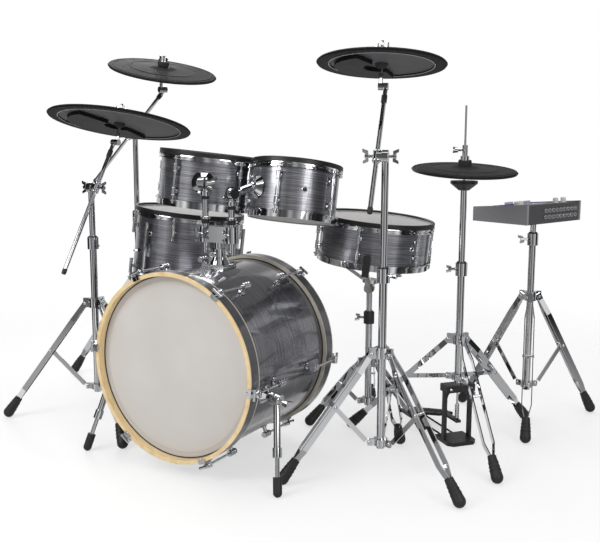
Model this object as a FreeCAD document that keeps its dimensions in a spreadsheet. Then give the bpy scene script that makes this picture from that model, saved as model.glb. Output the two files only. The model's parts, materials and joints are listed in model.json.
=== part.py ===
import FreeCAD, Part
import math
import os
import re
import Sketcher

# Electronic drum kit: five drums, four rubber cymbals, their stands and a sound module.
# Frame: +Z up, +X to the right seen from the audience, +Y towards the player, floor at Z 0.

Vector = FreeCAD.Vector
Rotation = FreeCAD.Rotation
Placement = FreeCAD.Placement
UP = Vector(0, 0, 1)

doc = FreeCAD.newDocument("drum_kit")
sheet = doc.addObject("Spreadsheet::Sheet", "sizes")

# Driving dimensions in millimetres and degrees
SIZES = {
    # place of the bass drum's centre in the kit's frame
    "bass_x": 70.2, "bass_y": -371.4, "bass_lift": 35,
    # bass drum
    "bass_radius": 254, "bass_wall": 8, "bass_depth": 390,
    "wood_hoop_reach": 12, "wood_hoop_width": 42, "wood_hoop_lip": 11, "head_recess": 24,
    "claw_width": 22, "claw_count": 6, "claw_angle": -6, "claw_hook": 9, "claw_plate": 4,
    "claw_skirt": 30, "claw_ear_drop": 22, "claw_ear": 8, "claw_reach": 21, "claw_stem": 13,
    "bass_lug_inset": 105, "bass_lug_length": 30,
    "trigger_radius": 60, "trigger_foam": 28, "trigger_bar_width": 40, "trigger_bar": 6,
    # what the drums share
    "drum_wall": 7, "head_film": 1.2, "flesh_hoop": 10, "head_clearance": 0.3, "head_skirt": 1.6,
    "hoop_clearance": 0.3, "hoop_band": 2, "hoop_drop": 16, "hoop_rise": 5, "hoop_flange": 3,
    "flange_reach": 9, "rim_top": 12, "rim_skirt": 4.5, "rim_reach": 8.5, "rim_round": 3,
    "lug_offset": 12, "lug_radius": 5.5, "lug_inset": 28, "lug_post": 5, "lug_sleeve": 3.6,
    "rod_radius": 2.8, "rod_head": 5, "rod_end_length": 8.5, "ear_radius": 8, "seat_gap": 0.2,
    # rack toms: gap and back are measured from the drum's own radius, rise from the bass drum's crown
    "tom_left_radius": 152.4, "tom_left_depth": 152, "tom_left_gap": 5.6, "tom_left_back": 37.6,
    "tom_left_rise": 231, "tom_left_tilt": 6.4, "tom_left_tilt_azimuth": 44,
    "tom_left_lugs": 5, "tom_left_lug_angle": -21, "tom_left_lug_length": 26,
    "tom_right_radius": 127, "tom_right_depth": 154, "tom_right_gap": 22, "tom_right_back": 65,
    "tom_right_rise": 205, "tom_right_tilt": 11, "tom_right_tilt_azimuth": 88,
    "tom_right_lugs": 5, "tom_right_lug_angle": -8.5, "tom_right_lug_length": 26,
    # tom holder: rises are measured from the bass drum's crown
    "tom_post_y": 16, "tom_post_radius": 12.7, "tom_post_drop": 115, "tom_arm_spread": 46,
    "tom_arm_radius": 9.5, "tom_arm_rise": 35, "tom_joint_rise": 6,
    "clamp_block_rise": 69, "clamp_block_height": 46, "clamp_block_wall": 10,
    "tom_plate_length": 76, "tom_plate_width": 66, "tom_plate_drop": 6, "tom_plate_rise": 7,
    "tom_socket_rise": 51, "tom_socket_wall": 7, "tom_flare": 12, "tom_flare_height": 22,
    "ratchet_radius": 17, "ratchet_half": 7, "ratchet_gap": 0.3,
    "ratchet_disc": 13, "l_rod_radius": 6, "bracket_radius": 34, "bracket_rise": 14,
    # floor tom
    "floor_tom_radius": 178, "floor_tom_depth": 248, "floor_tom_gap": 147, "floor_tom_back": 205,
    "floor_tom_height": 538, "floor_tom_tilt": 6.3, "floor_tom_tilt_azimuth": 33,
    "floor_tom_lugs": 6, "floor_tom_lug_angle": -68, "floor_tom_lug_length": 52,
    "floor_leg_angle": 22, "floor_leg_radius": 6,
    "floor_leg_offset": 15, "floor_leg_rise": 92, "floor_foot_radius": 13, "floor_foot_length": 42,
    "floor_block_width": 30, "floor_block_height": 44, "floor_block_gap": 0.6,
    # snare and its basket
    "snare_radius": 175.6, "snare_depth": 132, "snare_height": 595, "snare_tilt": 5.5,
    "snare_tilt_azimuth": 12, "snare_lugs": 6, "snare_lug_angle": -20, "snare_lug_length": 26,
    "snare_hub_drop": 157,
    "basket_arm_width": 14, "basket_arm_thick": 6, "basket_hub_height": 34, "basket_cheek": 7,
    "basket_crown": 12, "basket_ledge": 22, "basket_grip_length": 62, "basket_grip_width": 20,
    "basket_grip_thick": 12, "basket_grip_drop": 14, "basket_angle": 50,
    # spurs: reach is measured from the shell, drop from its axis, inset and lead from its front edge
    "spur_hinge_reach": 32, "spur_hinge_inset": 68, "spur_hinge_drop": 64, "spur_foot_reach": 79,
    "spur_foot_lead": 4, "spur_tube_radius": 9.5, "spur_rod_radius": 6, "spur_tube_share": 0.62,
    "spur_foot_radius": 12, "spur_foot_length": 40, "spur_plate": 26, "spur_plate_rise": 12,
    "spur_cap": 3, "spur_cap_length": 26,
    # tripods
    "base_tube_radius": 11.1, "base_tube_wall": 1.3, "tube_clearance": 0.3,
    "collar_wall": 8, "collar_height": 30, "ring_height": 18, "ear_half": 5, "ear_depth": 18,
    "strap_thick": 3, "strap_width": 16, "strap_spread": 13, "strap_kink": 0.18, "strap_pinch": 0.9,
    "strap_tail": 8, "strap_straight": 14,
    "brace_thick": 4, "brace_width": 13, "brace_share": 0.5, "pin_radius": 3.5,
    "foot_radius": 17, "foot_length": 62, "foot_top_radius": 12,
    "clamp_wall": 6.5, "clamp_height": 38, "clamp_throat": 8, "seat_clearance": 0.1, "tube_overlap": 140,
    # places of the stands: gaps in X are measured from the bass drum's shell
    "ride_stand_gap": 255, "ride_stand_y": 36, "ride_spread": 304, "ride_leg_angle": 86.5,
    "ride_ring": 114, "ride_collar": 392, "ride_clamp": 597,
    "left_crash_stand_gap": 436, "left_crash_stand_back": 78, "left_crash_spread": 304,
    "left_crash_leg_angle": 68, "left_crash_ring": 114, "left_crash_collar": 400,
    "left_crash_clamp": 640,
    "right_crash_stand_gap": 247, "right_crash_stand_y": 64, "right_crash_spread": 273,
    "right_crash_leg_angle": 102.5, "right_crash_ring": 102, "right_crash_collar": 352,
    "right_crash_clamp": 573,
    "hat_stand_gap": 325, "hat_stand_back": -59, "hat_spread": 337, "hat_leg_angle": 69.5,
    "hat_ring_rise": 22, "hat_collar": 322, "hat_clamp": 546,
    "snare_stand_x": 247, "snare_stand_back": 327.4, "snare_spread": 207, "snare_leg_angle": 112.5,
    "snare_ring": 64, "snare_collar": 194, "snare_clamp_drop": 86,
    "module_stand_gap": 443, "module_stand_back": 269, "module_spread": 247, "module_leg_angle": 46.5,
    "module_ring": 118, "module_collar": 414, "module_clamp_drop": 50,
    # booms, tilters and cymbal pads: reaches from the stand, rises from the nearest rack tom
    "boom_radius": 6.35, "boom_sleeve": 10.5, "boom_sleeve_length": 34, "boom_offset": 22.5,
    "head_radius": 17, "head_half": 8, "head_sink": 2.5,
    "tilter_radius": 10, "tilter_half": 7, "tilter_disc": 13, "cymbal_rod": 4, "tilter_post": 5.5,
    "tilter_length": 66, "cymbal_rod_rise": 44, "cymbal_rod_root": 3, "ball_radius": 19,
    "ball_gap": 0.3, "pad_rise": 6, "pad_edge": 8, "bell_radius": 46, "bell_rise": 5, "pad_lip": 34,
    "pad_recess": 4, "housing_inner": 48, "housing_share": 0.72, "housing_drop": 12,
    "housing_angle": 165, "housing_turn": 100,
    "ride_radius": 228.5, "ride_reach_x": 32, "ride_reach_y": 107, "ride_rise": 182,
    "ride_tilt": 13.4, "ride_boom_rise": 205, "ride_tail": 300, "ride_side": 1,
    "left_crash_radius": 178, "left_crash_reach_x": 272, "left_crash_reach_y": -169,
    "left_crash_rise": 354, "left_crash_tilt": 16, "left_crash_boom_rise": 216,
    "left_crash_tail": 400, "left_crash_side": 1,
    "right_crash_radius": 178, "right_crash_reach_x": -73, "right_crash_reach_y": 122,
    "right_crash_rise": 366, "right_crash_tilt": 8.6, "right_crash_boom_rise": 250,
    "right_crash_tail": 170, "right_crash_side": -1,
    # hi-hat: drops and rises are measured from the pad's height
    "hat_radius": 155, "hat_height": 832, "hat_tilt": 6, "hat_tilt_azimuth": -47,
    "pull_rod": 3, "pull_rod_bottom": 104, "pull_rod_rise": 184, "pull_rod_end": 100,
    "pull_rod_step": 0.2, "pull_rod_clearance": 1.2,
    "hat_tube_drop": 62, "hat_housing_drop": 34, "hat_housing_radius": 40, "hat_brim": 8,
    "hat_cup": 6, "clutch_radius": 8, "clutch_rise": 30, "clutch_height": 40, "clutch_foot": 5,
    "clutch_lap": 8, "clutch_screw_drop": 14,
    "pedal_azimuth": 140, "pedal_half": 48, "pedal_upright": 10, "pedal_depth": 15, "pedal_top": 183,
    "pedal_bridge": 22, "pedal_bridge_length": 44, "pedal_base": 12, "pedal_base_length": 92,
    "pedal_corner": 14, "heel_distance": 262, "heel_plate": 8, "heel_plate_length": 74,
    "heel_plate_lead": 8, "heel_width": 66, "hinge_height": 17, "hinge_radius": 5, "hinge_pin": 3,
    "hinge_clearance": 0.1, "knuckle_width": 8, "knuckle_length": 14,
    "toe_distance": 66, "toe_height": 70, "toe_width": 84, "toe_corner": 18, "toe_share": 0.55,
    "footboard": 8, "lever_width": 16, "lever_lap": 20, "lever_end": -12,
    "link_gap": 0.6, "link_thick": 5, "link_width": 12, "link_rise": 14,
    "radius_rod": 3, "radius_rod_inset": 12, "radius_rod_lift": 1,
    # sound module: shares are of its width and depth
    "module_shift_x": -21, "module_shift_y": -4, "module_bottom": 660, "module_yaw": 71,
    "module_width": 290, "module_depth": 205, "module_front": 42, "module_back": 60,
    "cheek": 9, "cheek_rise": 3, "knob_radius": 9, "knob_height": 17, "dial_radius": 15,
    "dial_height": 12, "knob_chamfer": 1.5, "knob_draft": 1, "screen_rise": 2,
    "screen_width": 0.27, "screen_depth": 0.215, "key_size": 13, "key_height": 3,
    "key_margin": 0.104, "key_pitch": 0.1, "key_line": 0.575, "key_row_pitch": 0.102,
    "fader_width": 10, "fader_length": 15, "fader_height": 9, "fader_start": 0.44,
    "fader_pitch": 0.0586, "fader_line": 0.8, "fader_step": 0.03,
    "jack_radius": 5.5, "jack_depth": 5, "jack_start": 0.33, "jack_pitch": 0.069,
    "post_plate": 55, "post_plate_thick": 4,
    # wing screws
    "wing_span": 20, "wing_rise": 15, "wing_thick": 5, "wing_hub": 6.5, "wing_hub_height": 9,
    "wing_shaft": 4, "wing_reach": 12,
}
for row, (alias, value) in enumerate(SIZES.items(), start=1):
    sheet.set("A%d" % row, str(value))
    sheet.setAlias("A%d" % row, alias)
doc.recompute()

WORDS = re.compile("|".join(r"\b%s\b" % alias for alias in sorted(SIZES, key=len, reverse=True)))
nodes = []
frames = {}


def linked(expression):
    return WORDS.sub(lambda found: "sizes." + found.group(0), str(expression))


def num(expression):
    result = sheet.evalExpression(linked(expression))
    return float(getattr(result, "Value", result))


def bind(item, prop, expression):
    if isinstance(expression, str):
        item.setExpression(prop, linked(expression))
    else:
        setattr(item, prop, expression)


def along(direction):
    return Rotation(UP, direction)


def spot(x, y, z):
    return Vector(num(x), num(y), num(z))


def compass(degrees):
    angle = math.radians(degrees)
    return Vector(math.cos(angle), math.sin(angle), 0)


def turned(degrees, position=Vector()):
    return Placement(position, Rotation(UP, degrees))


KIT = Placement(spot("bass_x", "bass_y", 0), Rotation())

# Sizes that follow from others
BASS_RIM = "bass_radius + wood_hoop_reach"
BASS_AXIS = "bass_radius + wood_hoop_reach + bass_lift"
BASS_CROWN = "2 * bass_radius + wood_hoop_reach + bass_lift"
HEAD_EDGE = "head_clearance + head_skirt"
HOOP_SEAT = "head_clearance + head_skirt + hoop_clearance"
SPUR_Y = "spur_hinge_inset - bass_depth / 2"
UPPER_TUBE = "base_tube_radius - base_tube_wall - tube_clearance"
TOM_LEFT_HEIGHT = BASS_CROWN + " + tom_left_rise"
TOM_RIGHT_HEIGHT = BASS_CROWN + " + tom_right_rise"
SNARE_Y = "snare_radius + snare_stand_back"
HAT_Y = SNARE_Y + " + hat_stand_back"
FLOOR_TOM_Y = "floor_tom_radius + floor_tom_back"
CYMBAL_HEIGHTS = {
    "ride": TOM_LEFT_HEIGHT + " + ride_rise",
    "left_crash": TOM_LEFT_HEIGHT + " + left_crash_rise",
    "right_crash": TOM_RIGHT_HEIGHT + " + right_crash_rise",
}
CLAMP_TOPS = {
    "ride": "ride_clamp", "left_crash": "left_crash_clamp", "right_crash": "right_crash_clamp",
    "hat": "hat_clamp", "snare": "snare_height - snare_hub_drop - snare_clamp_drop",
    "module": "module_bottom - module_clamp_drop",
}
STAND_PLACES = {
    "ride": ("-(bass_radius + ride_stand_gap)", "ride_stand_y"),
    "left_crash": ("-(bass_radius + left_crash_stand_gap)", FLOOR_TOM_Y + " + left_crash_stand_back"),
    "right_crash": ("bass_radius + right_crash_stand_gap", "right_crash_stand_y"),
    "hat": ("bass_radius + hat_stand_gap", HAT_Y),
    "snare": ("snare_stand_x", SNARE_Y),
    "module": ("bass_radius + module_stand_gap", SNARE_Y + " + module_stand_back"),
}
DRUM_PLACES = {
    "tom_left": ("-(tom_left_radius + tom_left_gap)", "tom_left_radius + tom_left_back", TOM_LEFT_HEIGHT),
    "tom_right": ("tom_right_radius + tom_right_gap", "tom_right_radius + tom_right_back",
                  TOM_RIGHT_HEIGHT),
    "floor_tom": ("-(bass_radius + floor_tom_gap)", FLOOR_TOM_Y, "floor_tom_height"),
}


# Basic pieces

def cylinder(name, radius, height, position=Vector(), direction=UP):
    item = doc.addObject("Part::Cylinder", name)
    bind(item, "Radius", radius)
    bind(item, "Height", height)
    item.Placement = Placement(position, along(direction))
    return item


def sphere(name, radius, position=Vector()):
    item = doc.addObject("Part::Sphere", name)
    bind(item, "Radius", radius)
    item.Placement = Placement(position, Rotation())
    return item


def cone(name, lower, upper, height, position=Vector(), direction=UP):
    item = doc.addObject("Part::Cone", name)
    bind(item, "Radius1", lower)
    bind(item, "Radius2", upper)
    bind(item, "Height", height)
    item.Placement = Placement(position, along(direction))
    return item


def box(name, length, width, height, corner=Vector(), place=Placement()):
    item = doc.addObject("Part::Box", name)
    bind(item, "Length", length)
    bind(item, "Width", width)
    bind(item, "Height", height)
    item.Placement = place * Placement(corner, Rotation())
    return item


def fuse(name, pieces):
    item = doc.addObject("Part::MultiFuse", name)
    item.Shapes = pieces
    return item


def cut(name, base, tool):
    item = doc.addObject("Part::Cut", name)
    item.Base = base
    item.Tool = tool
    return item


def rod(name, radius, start, end):
    item = doc.addObject("Part::Cylinder", name)
    bind(item, "Radius", radius)
    item.Height = (end - start).Length
    item.Placement = Placement(start, along(end - start))
    return item


def tube(name, radius, wall, bottom, top, position):
    outer = cylinder(name + "_outer", radius, "%s - (%s)" % (top, bottom), position + UP * num(bottom))
    inner = cylinder(name + "_inner", "%s - (%s)" % (radius, wall), "%s - (%s) + 2" % (top, bottom),
                     position + UP * (num(bottom) - 1))
    return cut(name, outer, inner)


def copy(source, place):
    item = doc.addObject("App::Link", source.Name + "_copy")
    item.LinkedObject = source
    item.LinkTransform = True
    item.Placement = place
    return item


def node(label, pieces, place=Placement()):
    item = doc.addObject("Part::Compound", label + "_group")
    item.Links = pieces
    item.Placement = place
    item.Label = label
    nodes.append(item)
    return item


# A closed sketch through points given as expressions; a third entry is the radius of the arc that
# leaves the point, with its centre on the left of the way if positive and on the right if negative.
def sketch_on(body, name, plane, points):
    sketch = body.newObject("Sketcher::SketchObject", name)
    origin = [feature for feature in body.Origin.OriginFeatures if feature.Role == plane][0]
    sketch.AttachmentSupport = [(origin, "")]
    sketch.MapMode = "FlatFace"
    places = [Vector(num(point[0]), num(point[1]), 0) for point in points]
    ends = []
    for index, point in enumerate(points):
        start = places[index]
        end = places[(index + 1) % len(points)]
        if len(point) == 2:
            edge = sketch.addGeometry(Part.LineSegment(start, end))
            ends.append((edge, 1, 2))
            continue
        radius = num(point[2])
        chord = end - start
        left = Vector(-chord.y, chord.x, 0).normalize()
        reach = math.sqrt(radius * radius - chord.Length ** 2 / 4)
        centre = (start + end) * 0.5 + left * (reach if radius > 0 else -reach)
        angles = [math.atan2(p.y - centre.y, p.x - centre.x) for p in (start, end)]
        if radius < 0:
            angles.reverse()
        circle = Part.Circle(centre, UP, abs(radius))
        edge = sketch.addGeometry(Part.ArcOfCircle(circle, angles[0], angles[1]))
        ends.append((edge, 1, 2) if radius > 0 else (edge, 2, 1))
        rule = sketch.addConstraint(Sketcher.Constraint("Radius", edge, abs(radius)))
        sketch.setExpression("Constraints[%d]" % rule, linked("abs(%s)" % point[2]))
    for index, point in enumerate(points):
        edge, first, last = ends[index]
        before, _, before_last = ends[index - 1]
        sketch.addConstraint(Sketcher.Constraint("Coincident", before, before_last, edge, first))
        for axis, kind, line in ((0, "DistanceX", -2), (1, "DistanceY", -1)):
            value = num(point[axis])
            if abs(value) < 1e-9:
                sketch.addConstraint(Sketcher.Constraint("PointOnObject", edge, first, line))
                continue
            rule = sketch.addConstraint(Sketcher.Constraint(kind, edge, first, value))
            sketch.setExpression("Constraints[%d]" % rule, linked(point[axis]))
    return sketch


def revolved(name, points):
    body = doc.addObject("PartDesign::Body", name)
    sketch = sketch_on(body, name + "_profile", "XZ_Plane", points)
    feature = body.newObject("PartDesign::Revolution", name + "_turn")
    feature.Profile = sketch
    feature.ReferenceAxis = (sketch, ["V_Axis"])
    feature.Angle = 360
    return body


def padded(name, plane, points, thickness, place=Placement()):
    body = doc.addObject("PartDesign::Body", name)
    sketch = sketch_on(body, name + "_outline", plane, points)
    feature = body.newObject("PartDesign::Pad", name + "_pad")
    feature.Profile = sketch
    bind(feature, "Length", thickness)
    body.Placement = place
    return body


# Wing screw along +Z: the shaft's inner end is at the origin.
wing_blade = padded("wing_blade", "XZ_Plane", [
    ("-wing_span * 0.7", 0), ("wing_span * 0.7", 0), ("wing_span", "wing_rise"),
    ("wing_span * 0.62", "wing_rise"), ("wing_span * 0.34", "wing_rise * 0.4"),
    ("-wing_span * 0.34", "wing_rise * 0.4"), ("-wing_span * 0.62", "wing_rise"),
    ("-wing_span", "wing_rise")], "wing_thick")
wing_blade.Placement = Placement(Vector(0, num("wing_thick / 2"), num("wing_reach")), Rotation())
wing_screw = fuse("wing_screw", [
    wing_blade,
    cylinder("wing_hub", "wing_hub", "wing_hub_height", UP * num("wing_reach")),
    cylinder("wing_shaft", "wing_shaft", "wing_reach")])


def wing(position, direction, spin=0):
    return copy(wing_screw, Placement(position, along(direction) * Rotation(UP, spin)))


# Bass drum, built along Z with the front head at +Z, then laid down facing the audience.
BASS = KIT * Placement(Vector(0, 0, num(BASS_AXIS)), Rotation(Vector(1, 0, 0), 90))


def bass_drum():
    half = num("bass_depth / 2")
    face = num("bass_depth / 2 + head_recess + head_film + seat_gap")
    lower = Placement(Vector(0, 0, -half), Rotation())
    body = revolved("bass_shell_body", [
        ("bass_radius - bass_wall", 0), ("bass_radius", 0),
        ("bass_radius", "bass_depth"), ("bass_radius - bass_wall", "bass_depth")])
    body.Placement = lower
    hole_start = Vector(0, num("bass_radius - 3 * bass_wall"), num("-tom_post_y"))
    hole = cylinder("tom_post_hole", "tom_post_radius + tube_clearance * 5", "bass_wall * 5", hole_start,
                    Vector(0, 1, 0))
    node("bass_shell", [cut("bass_shell_cut", body, hole)], BASS)

    hoop_inner = "bass_radius + " + HOOP_SEAT
    lip_inner = BASS_RIM + " - wood_hoop_lip"
    hoop = revolved("wood_hoop", [
        (hoop_inner, 0), (BASS_RIM, 0), (BASS_RIM, "wood_hoop_width"), (lip_inner, "wood_hoop_width"),
        (lip_inner, "wood_hoop_width - head_recess"), (hoop_inner, "wood_hoop_width - head_recess")])
    front = Placement(Vector(0, 0, face - num("wood_hoop_width")), Rotation())
    flip = Placement(Vector(), Rotation(Vector(1, 0, 0), 180))
    node("bass_hoops", [copy(hoop, front), copy(hoop, flip * front)], BASS)

    head_inner = "bass_radius + head_clearance"
    head_outer = "bass_radius + " + HEAD_EDGE
    head = revolved("bass_head", [
        (0, "flesh_hoop"), (head_inner, "flesh_hoop"), (head_inner, 0), (head_outer, 0),
        (head_outer, "flesh_hoop + head_film"), (0, "flesh_hoop + head_film")])
    seat = Placement(Vector(0, 0, half + num("seat_gap - flesh_hoop")), Rotation())
    node("bass_heads", [copy(head, seat), copy(head, flip * seat)], BASS)

    # Claw hook over the hoop's face, with a tension rod back to a small lug on the shell
    wall = BASS_RIM + " + claw_plate"
    tip = BASS_RIM + " - claw_hook"
    clear = BASS_RIM + " + seat_gap"
    ear_end = BASS_RIM + " + claw_reach"
    claw = padded("claw_hook_piece", "XZ_Plane", [
        (tip, "claw_plate"), (tip, 0), (clear, 0), (clear, "-claw_skirt"), (wall, "-claw_skirt"),
        (wall, "-claw_ear_drop"), (ear_end, "-claw_ear_drop"), (ear_end, "claw_ear - claw_ear_drop"),
        (wall + " + claw_plate", "claw_ear - claw_ear_drop"), (wall, "claw_plate")], "claw_width")
    claw.Placement = Placement(Vector(0, num("claw_width / 2"), face + num("seat_gap")), Rotation())
    rod_x = num(BASS_RIM + " + (claw_plate + claw_reach) / 2 + claw_plate / 4")
    ear_low = face + num("seat_gap - claw_ear_drop")
    ear_high = ear_low + num("claw_ear")
    lug_z = num("bass_depth / 2 - bass_lug_inset")
    lug_half = num("bass_lug_length / 2")
    rod_piece = rod("claw_rod", "rod_radius * 1.15", Vector(rod_x, 0, lug_z + lug_half),
                    Vector(rod_x, 0, ear_low))
    handle_stem = cylinder("claw_stem_piece", "rod_head", "claw_stem", Vector(rod_x, 0, ear_high))
    bar_half = num("claw_width * 0.73")
    bar_z = ear_high + num("claw_stem + rod_head / 2")
    handle_bar = rod("claw_bar", "rod_head * 0.76", Vector(rod_x, -bar_half, bar_z),
                     Vector(rod_x, bar_half, bar_z))
    handle = fuse("claw_handle", [handle_stem, handle_bar])
    lug = fuse("bass_lug", [
        cylinder("bass_lug_barrel", "lug_radius * 1.45", "bass_lug_length",
                 Vector(rod_x, 0, lug_z - lug_half)),
        rod("bass_lug_post", "lug_post * 1.17", Vector(num("bass_radius + seat_gap"), 0, lug_z),
            Vector(rod_x, 0, lug_z))])
    spread = 360 / num("claw_count")
    angles = [num("claw_angle") + spread * index for index in range(int(num("claw_count")))]
    sides = [turned(angle) for angle in angles] + [flip * turned(-angle) for angle in angles]
    node("bass_claws", [copy(piece, side) for side in sides for piece in (claw, handle)], BASS)
    node("bass_lugs", [copy(piece, side) for side in sides for piece in (lug, rod_piece)], BASS)

    # Trigger plate across the inside, with its foam against the batter head
    bar_length = 2 * math.sqrt(num("bass_radius - bass_wall") ** 2 - num("trigger_bar_width / 2") ** 2)
    foam_z = -half
    gap = num("seat_gap")
    bar = box("trigger_bar_piece", "trigger_bar_width", bar_length - 2 * gap, "trigger_bar",
              Vector(num("-trigger_bar_width / 2"), gap - bar_length / 2, foam_z + num("trigger_foam")))
    foam = cylinder("trigger_foam_piece", "trigger_radius", "trigger_foam", Vector(0, 0, foam_z))
    node("bass_trigger", [bar, foam], BASS)


# Small drums, built along Z with the shell from 0 to its depth

def drum_placement(prefix):
    tilt = num(prefix + "_tilt")
    toward = compass(num(prefix + "_tilt_azimuth"))
    lean = Rotation(Vector(-toward.y, toward.x, 0), tilt)
    return lean


def drum_frame(prefix, centre):
    half = Placement(Vector(0, 0, num("-%s_depth / 2" % prefix)), Rotation())
    return Placement(centre, drum_placement(prefix)) * half


def small_drum(prefix, frame, fittings=()):
    radius = prefix + "_radius"
    depth = prefix + "_depth"
    shell = revolved(prefix + "_shell_body", [
        (radius + " - drum_wall", 0), (radius, 0), (radius, depth), (radius + " - drum_wall", depth)])
    node(prefix + "_shell", [shell], frame)

    flip = Placement(Vector(0, 0, num(depth)), Rotation(Vector(1, 0, 0), 180))
    top = num(depth)
    hoop_inner = "%s + %s" % (radius, HOOP_SEAT)
    hoop_outer = hoop_inner + " + hoop_band"
    flange = radius + " + flange_reach"
    band = revolved(prefix + "_hoop_band", [
        (hoop_inner, 0), (flange, 0), (flange, "hoop_flange"), (hoop_outer, "hoop_flange"),
        (hoop_outer, "hoop_drop + hoop_rise"), (hoop_inner, "hoop_drop + hoop_rise")])
    count = int(num(prefix + "_lugs"))
    turns = [turned(num(prefix + "_lug_angle") + 360 / count * index) for index in range(count)]
    ear = cylinder(prefix + "_ear", "ear_radius", "hoop_flange", Vector(num(radius + " + lug_offset"), 0, 0))
    hoop = fuse(prefix + "_hoop", [band] + [copy(ear, turn) for turn in turns])
    upper = Placement(Vector(0, 0, top - num("hoop_drop")), Rotation())
    mirrored = fuse(prefix + "_lower_hoop",
                    [copy(band, flip * upper)] + [copy(ear, turn * flip * upper) for turn in turns])
    node(prefix + "_hoops", [copy(hoop, upper), mirrored], frame)

    head_inner = radius + " + head_clearance"
    head_outer = "%s + %s" % (radius, HEAD_EDGE)
    head = revolved(prefix + "_head", [
        (0, "flesh_hoop"), (head_inner, "flesh_hoop"), (head_inner, 0), (head_outer, 0),
        (head_outer, "flesh_hoop + head_film"), (0, "flesh_hoop + head_film")])
    seat = Placement(Vector(0, 0, top + num("seat_gap - flesh_hoop")), Rotation())
    lip = head_inner + " + seat_gap"
    skirt = hoop_outer + " + seat_gap"
    edge = radius + " + rim_reach"
    rim = revolved(prefix + "_rim", [
        (lip, "rim_skirt + hoop_rise + seat_gap"), (skirt, "rim_skirt + hoop_rise + seat_gap"),
        (skirt, 0), (edge, 0), (edge, "rim_skirt + rim_top - rim_round", "rim_round"),
        (edge + " - rim_round", "rim_skirt + rim_top"),
        (lip + " + rim_round", "rim_skirt + rim_top", "rim_round"),
        (lip, "rim_skirt + rim_top - rim_round")])
    rim.Placement = Placement(Vector(0, 0, top - num("rim_skirt")), Rotation())
    bar_length = 2 * math.sqrt(num(radius + " - drum_wall") ** 2 - num("trigger_bar_width / 2") ** 2)
    gap = num("seat_gap")
    bar_corner = Vector(gap - bar_length / 2, num("-trigger_bar_width / 2"),
                        top - num("trigger_foam + trigger_bar"))
    bar = box(prefix + "_trigger_bar", bar_length - 2 * gap, "trigger_bar_width", "trigger_bar", bar_corner)
    foam = cone(prefix + "_trigger_foam", "trigger_radius / 2", "trigger_radius / 4", "trigger_foam",
                Vector(0, 0, top - num("trigger_foam")))
    node(prefix + "_heads", [copy(head, seat), copy(head, flip * seat), rim, bar, foam], frame)

    # Each lug has a barrel on a post near either hoop; a thin sleeve joins the two on the shallow drums
    axis = num(radius + " + lug_offset")
    length = prefix + "_lug_length"
    low = num("lug_inset")
    high = top - num("lug_inset + %s" % length)
    under_ear = num("lug_inset - hoop_drop")
    halves = []
    for index, (start, rod_start) in enumerate(((low, low - under_ear), (high, high + num(length)))):
        halves.append([
            cylinder(prefix + "_lug_barrel_%d" % index, "lug_radius", length, Vector(axis, 0, start)),
            cylinder(prefix + "_lug_post_%d" % index, "lug_post", "lug_offset - seat_gap",
                     Vector(num(radius + " + seat_gap"), 0, start + num(length) / 2), Vector(1, 0, 0)),
            cylinder(prefix + "_lug_rod_%d" % index, "rod_radius", "lug_inset - hoop_drop",
                     Vector(axis, 0, rod_start))])
    if prefix == "floor_tom":
        lugs = [fuse("%s_lug_%d" % (prefix, index), half) for index, half in enumerate(halves)]
    else:
        sleeve = rod(prefix + "_lug_sleeve", "lug_sleeve", Vector(axis, 0, low + num("lug_radius")),
                     Vector(axis, 0, top - low - num("lug_radius")))
        lugs = [fuse(prefix + "_lug", halves[0] + halves[1] + [sleeve])]
    above_ear = num("hoop_drop - hoop_flange")
    screw = cylinder(prefix + "_rod_head", "rod_head", "hoop_drop - hoop_flange - rim_skirt - seat_gap",
                     Vector(axis, 0, top - above_ear))
    lower_screw = cylinder(prefix + "_rod_end", "rod_head * 0.8", "rod_end_length",
                           Vector(axis, 0, above_ear - num("rod_end_length")))
    pieces = [copy(piece, turn) for turn in turns for piece in lugs + [screw, lower_screw]]
    node(prefix + "_lugs", [copy(piece, frame) for piece in pieces] + list(fittings))


# Tom holder on top of the bass drum

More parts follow.
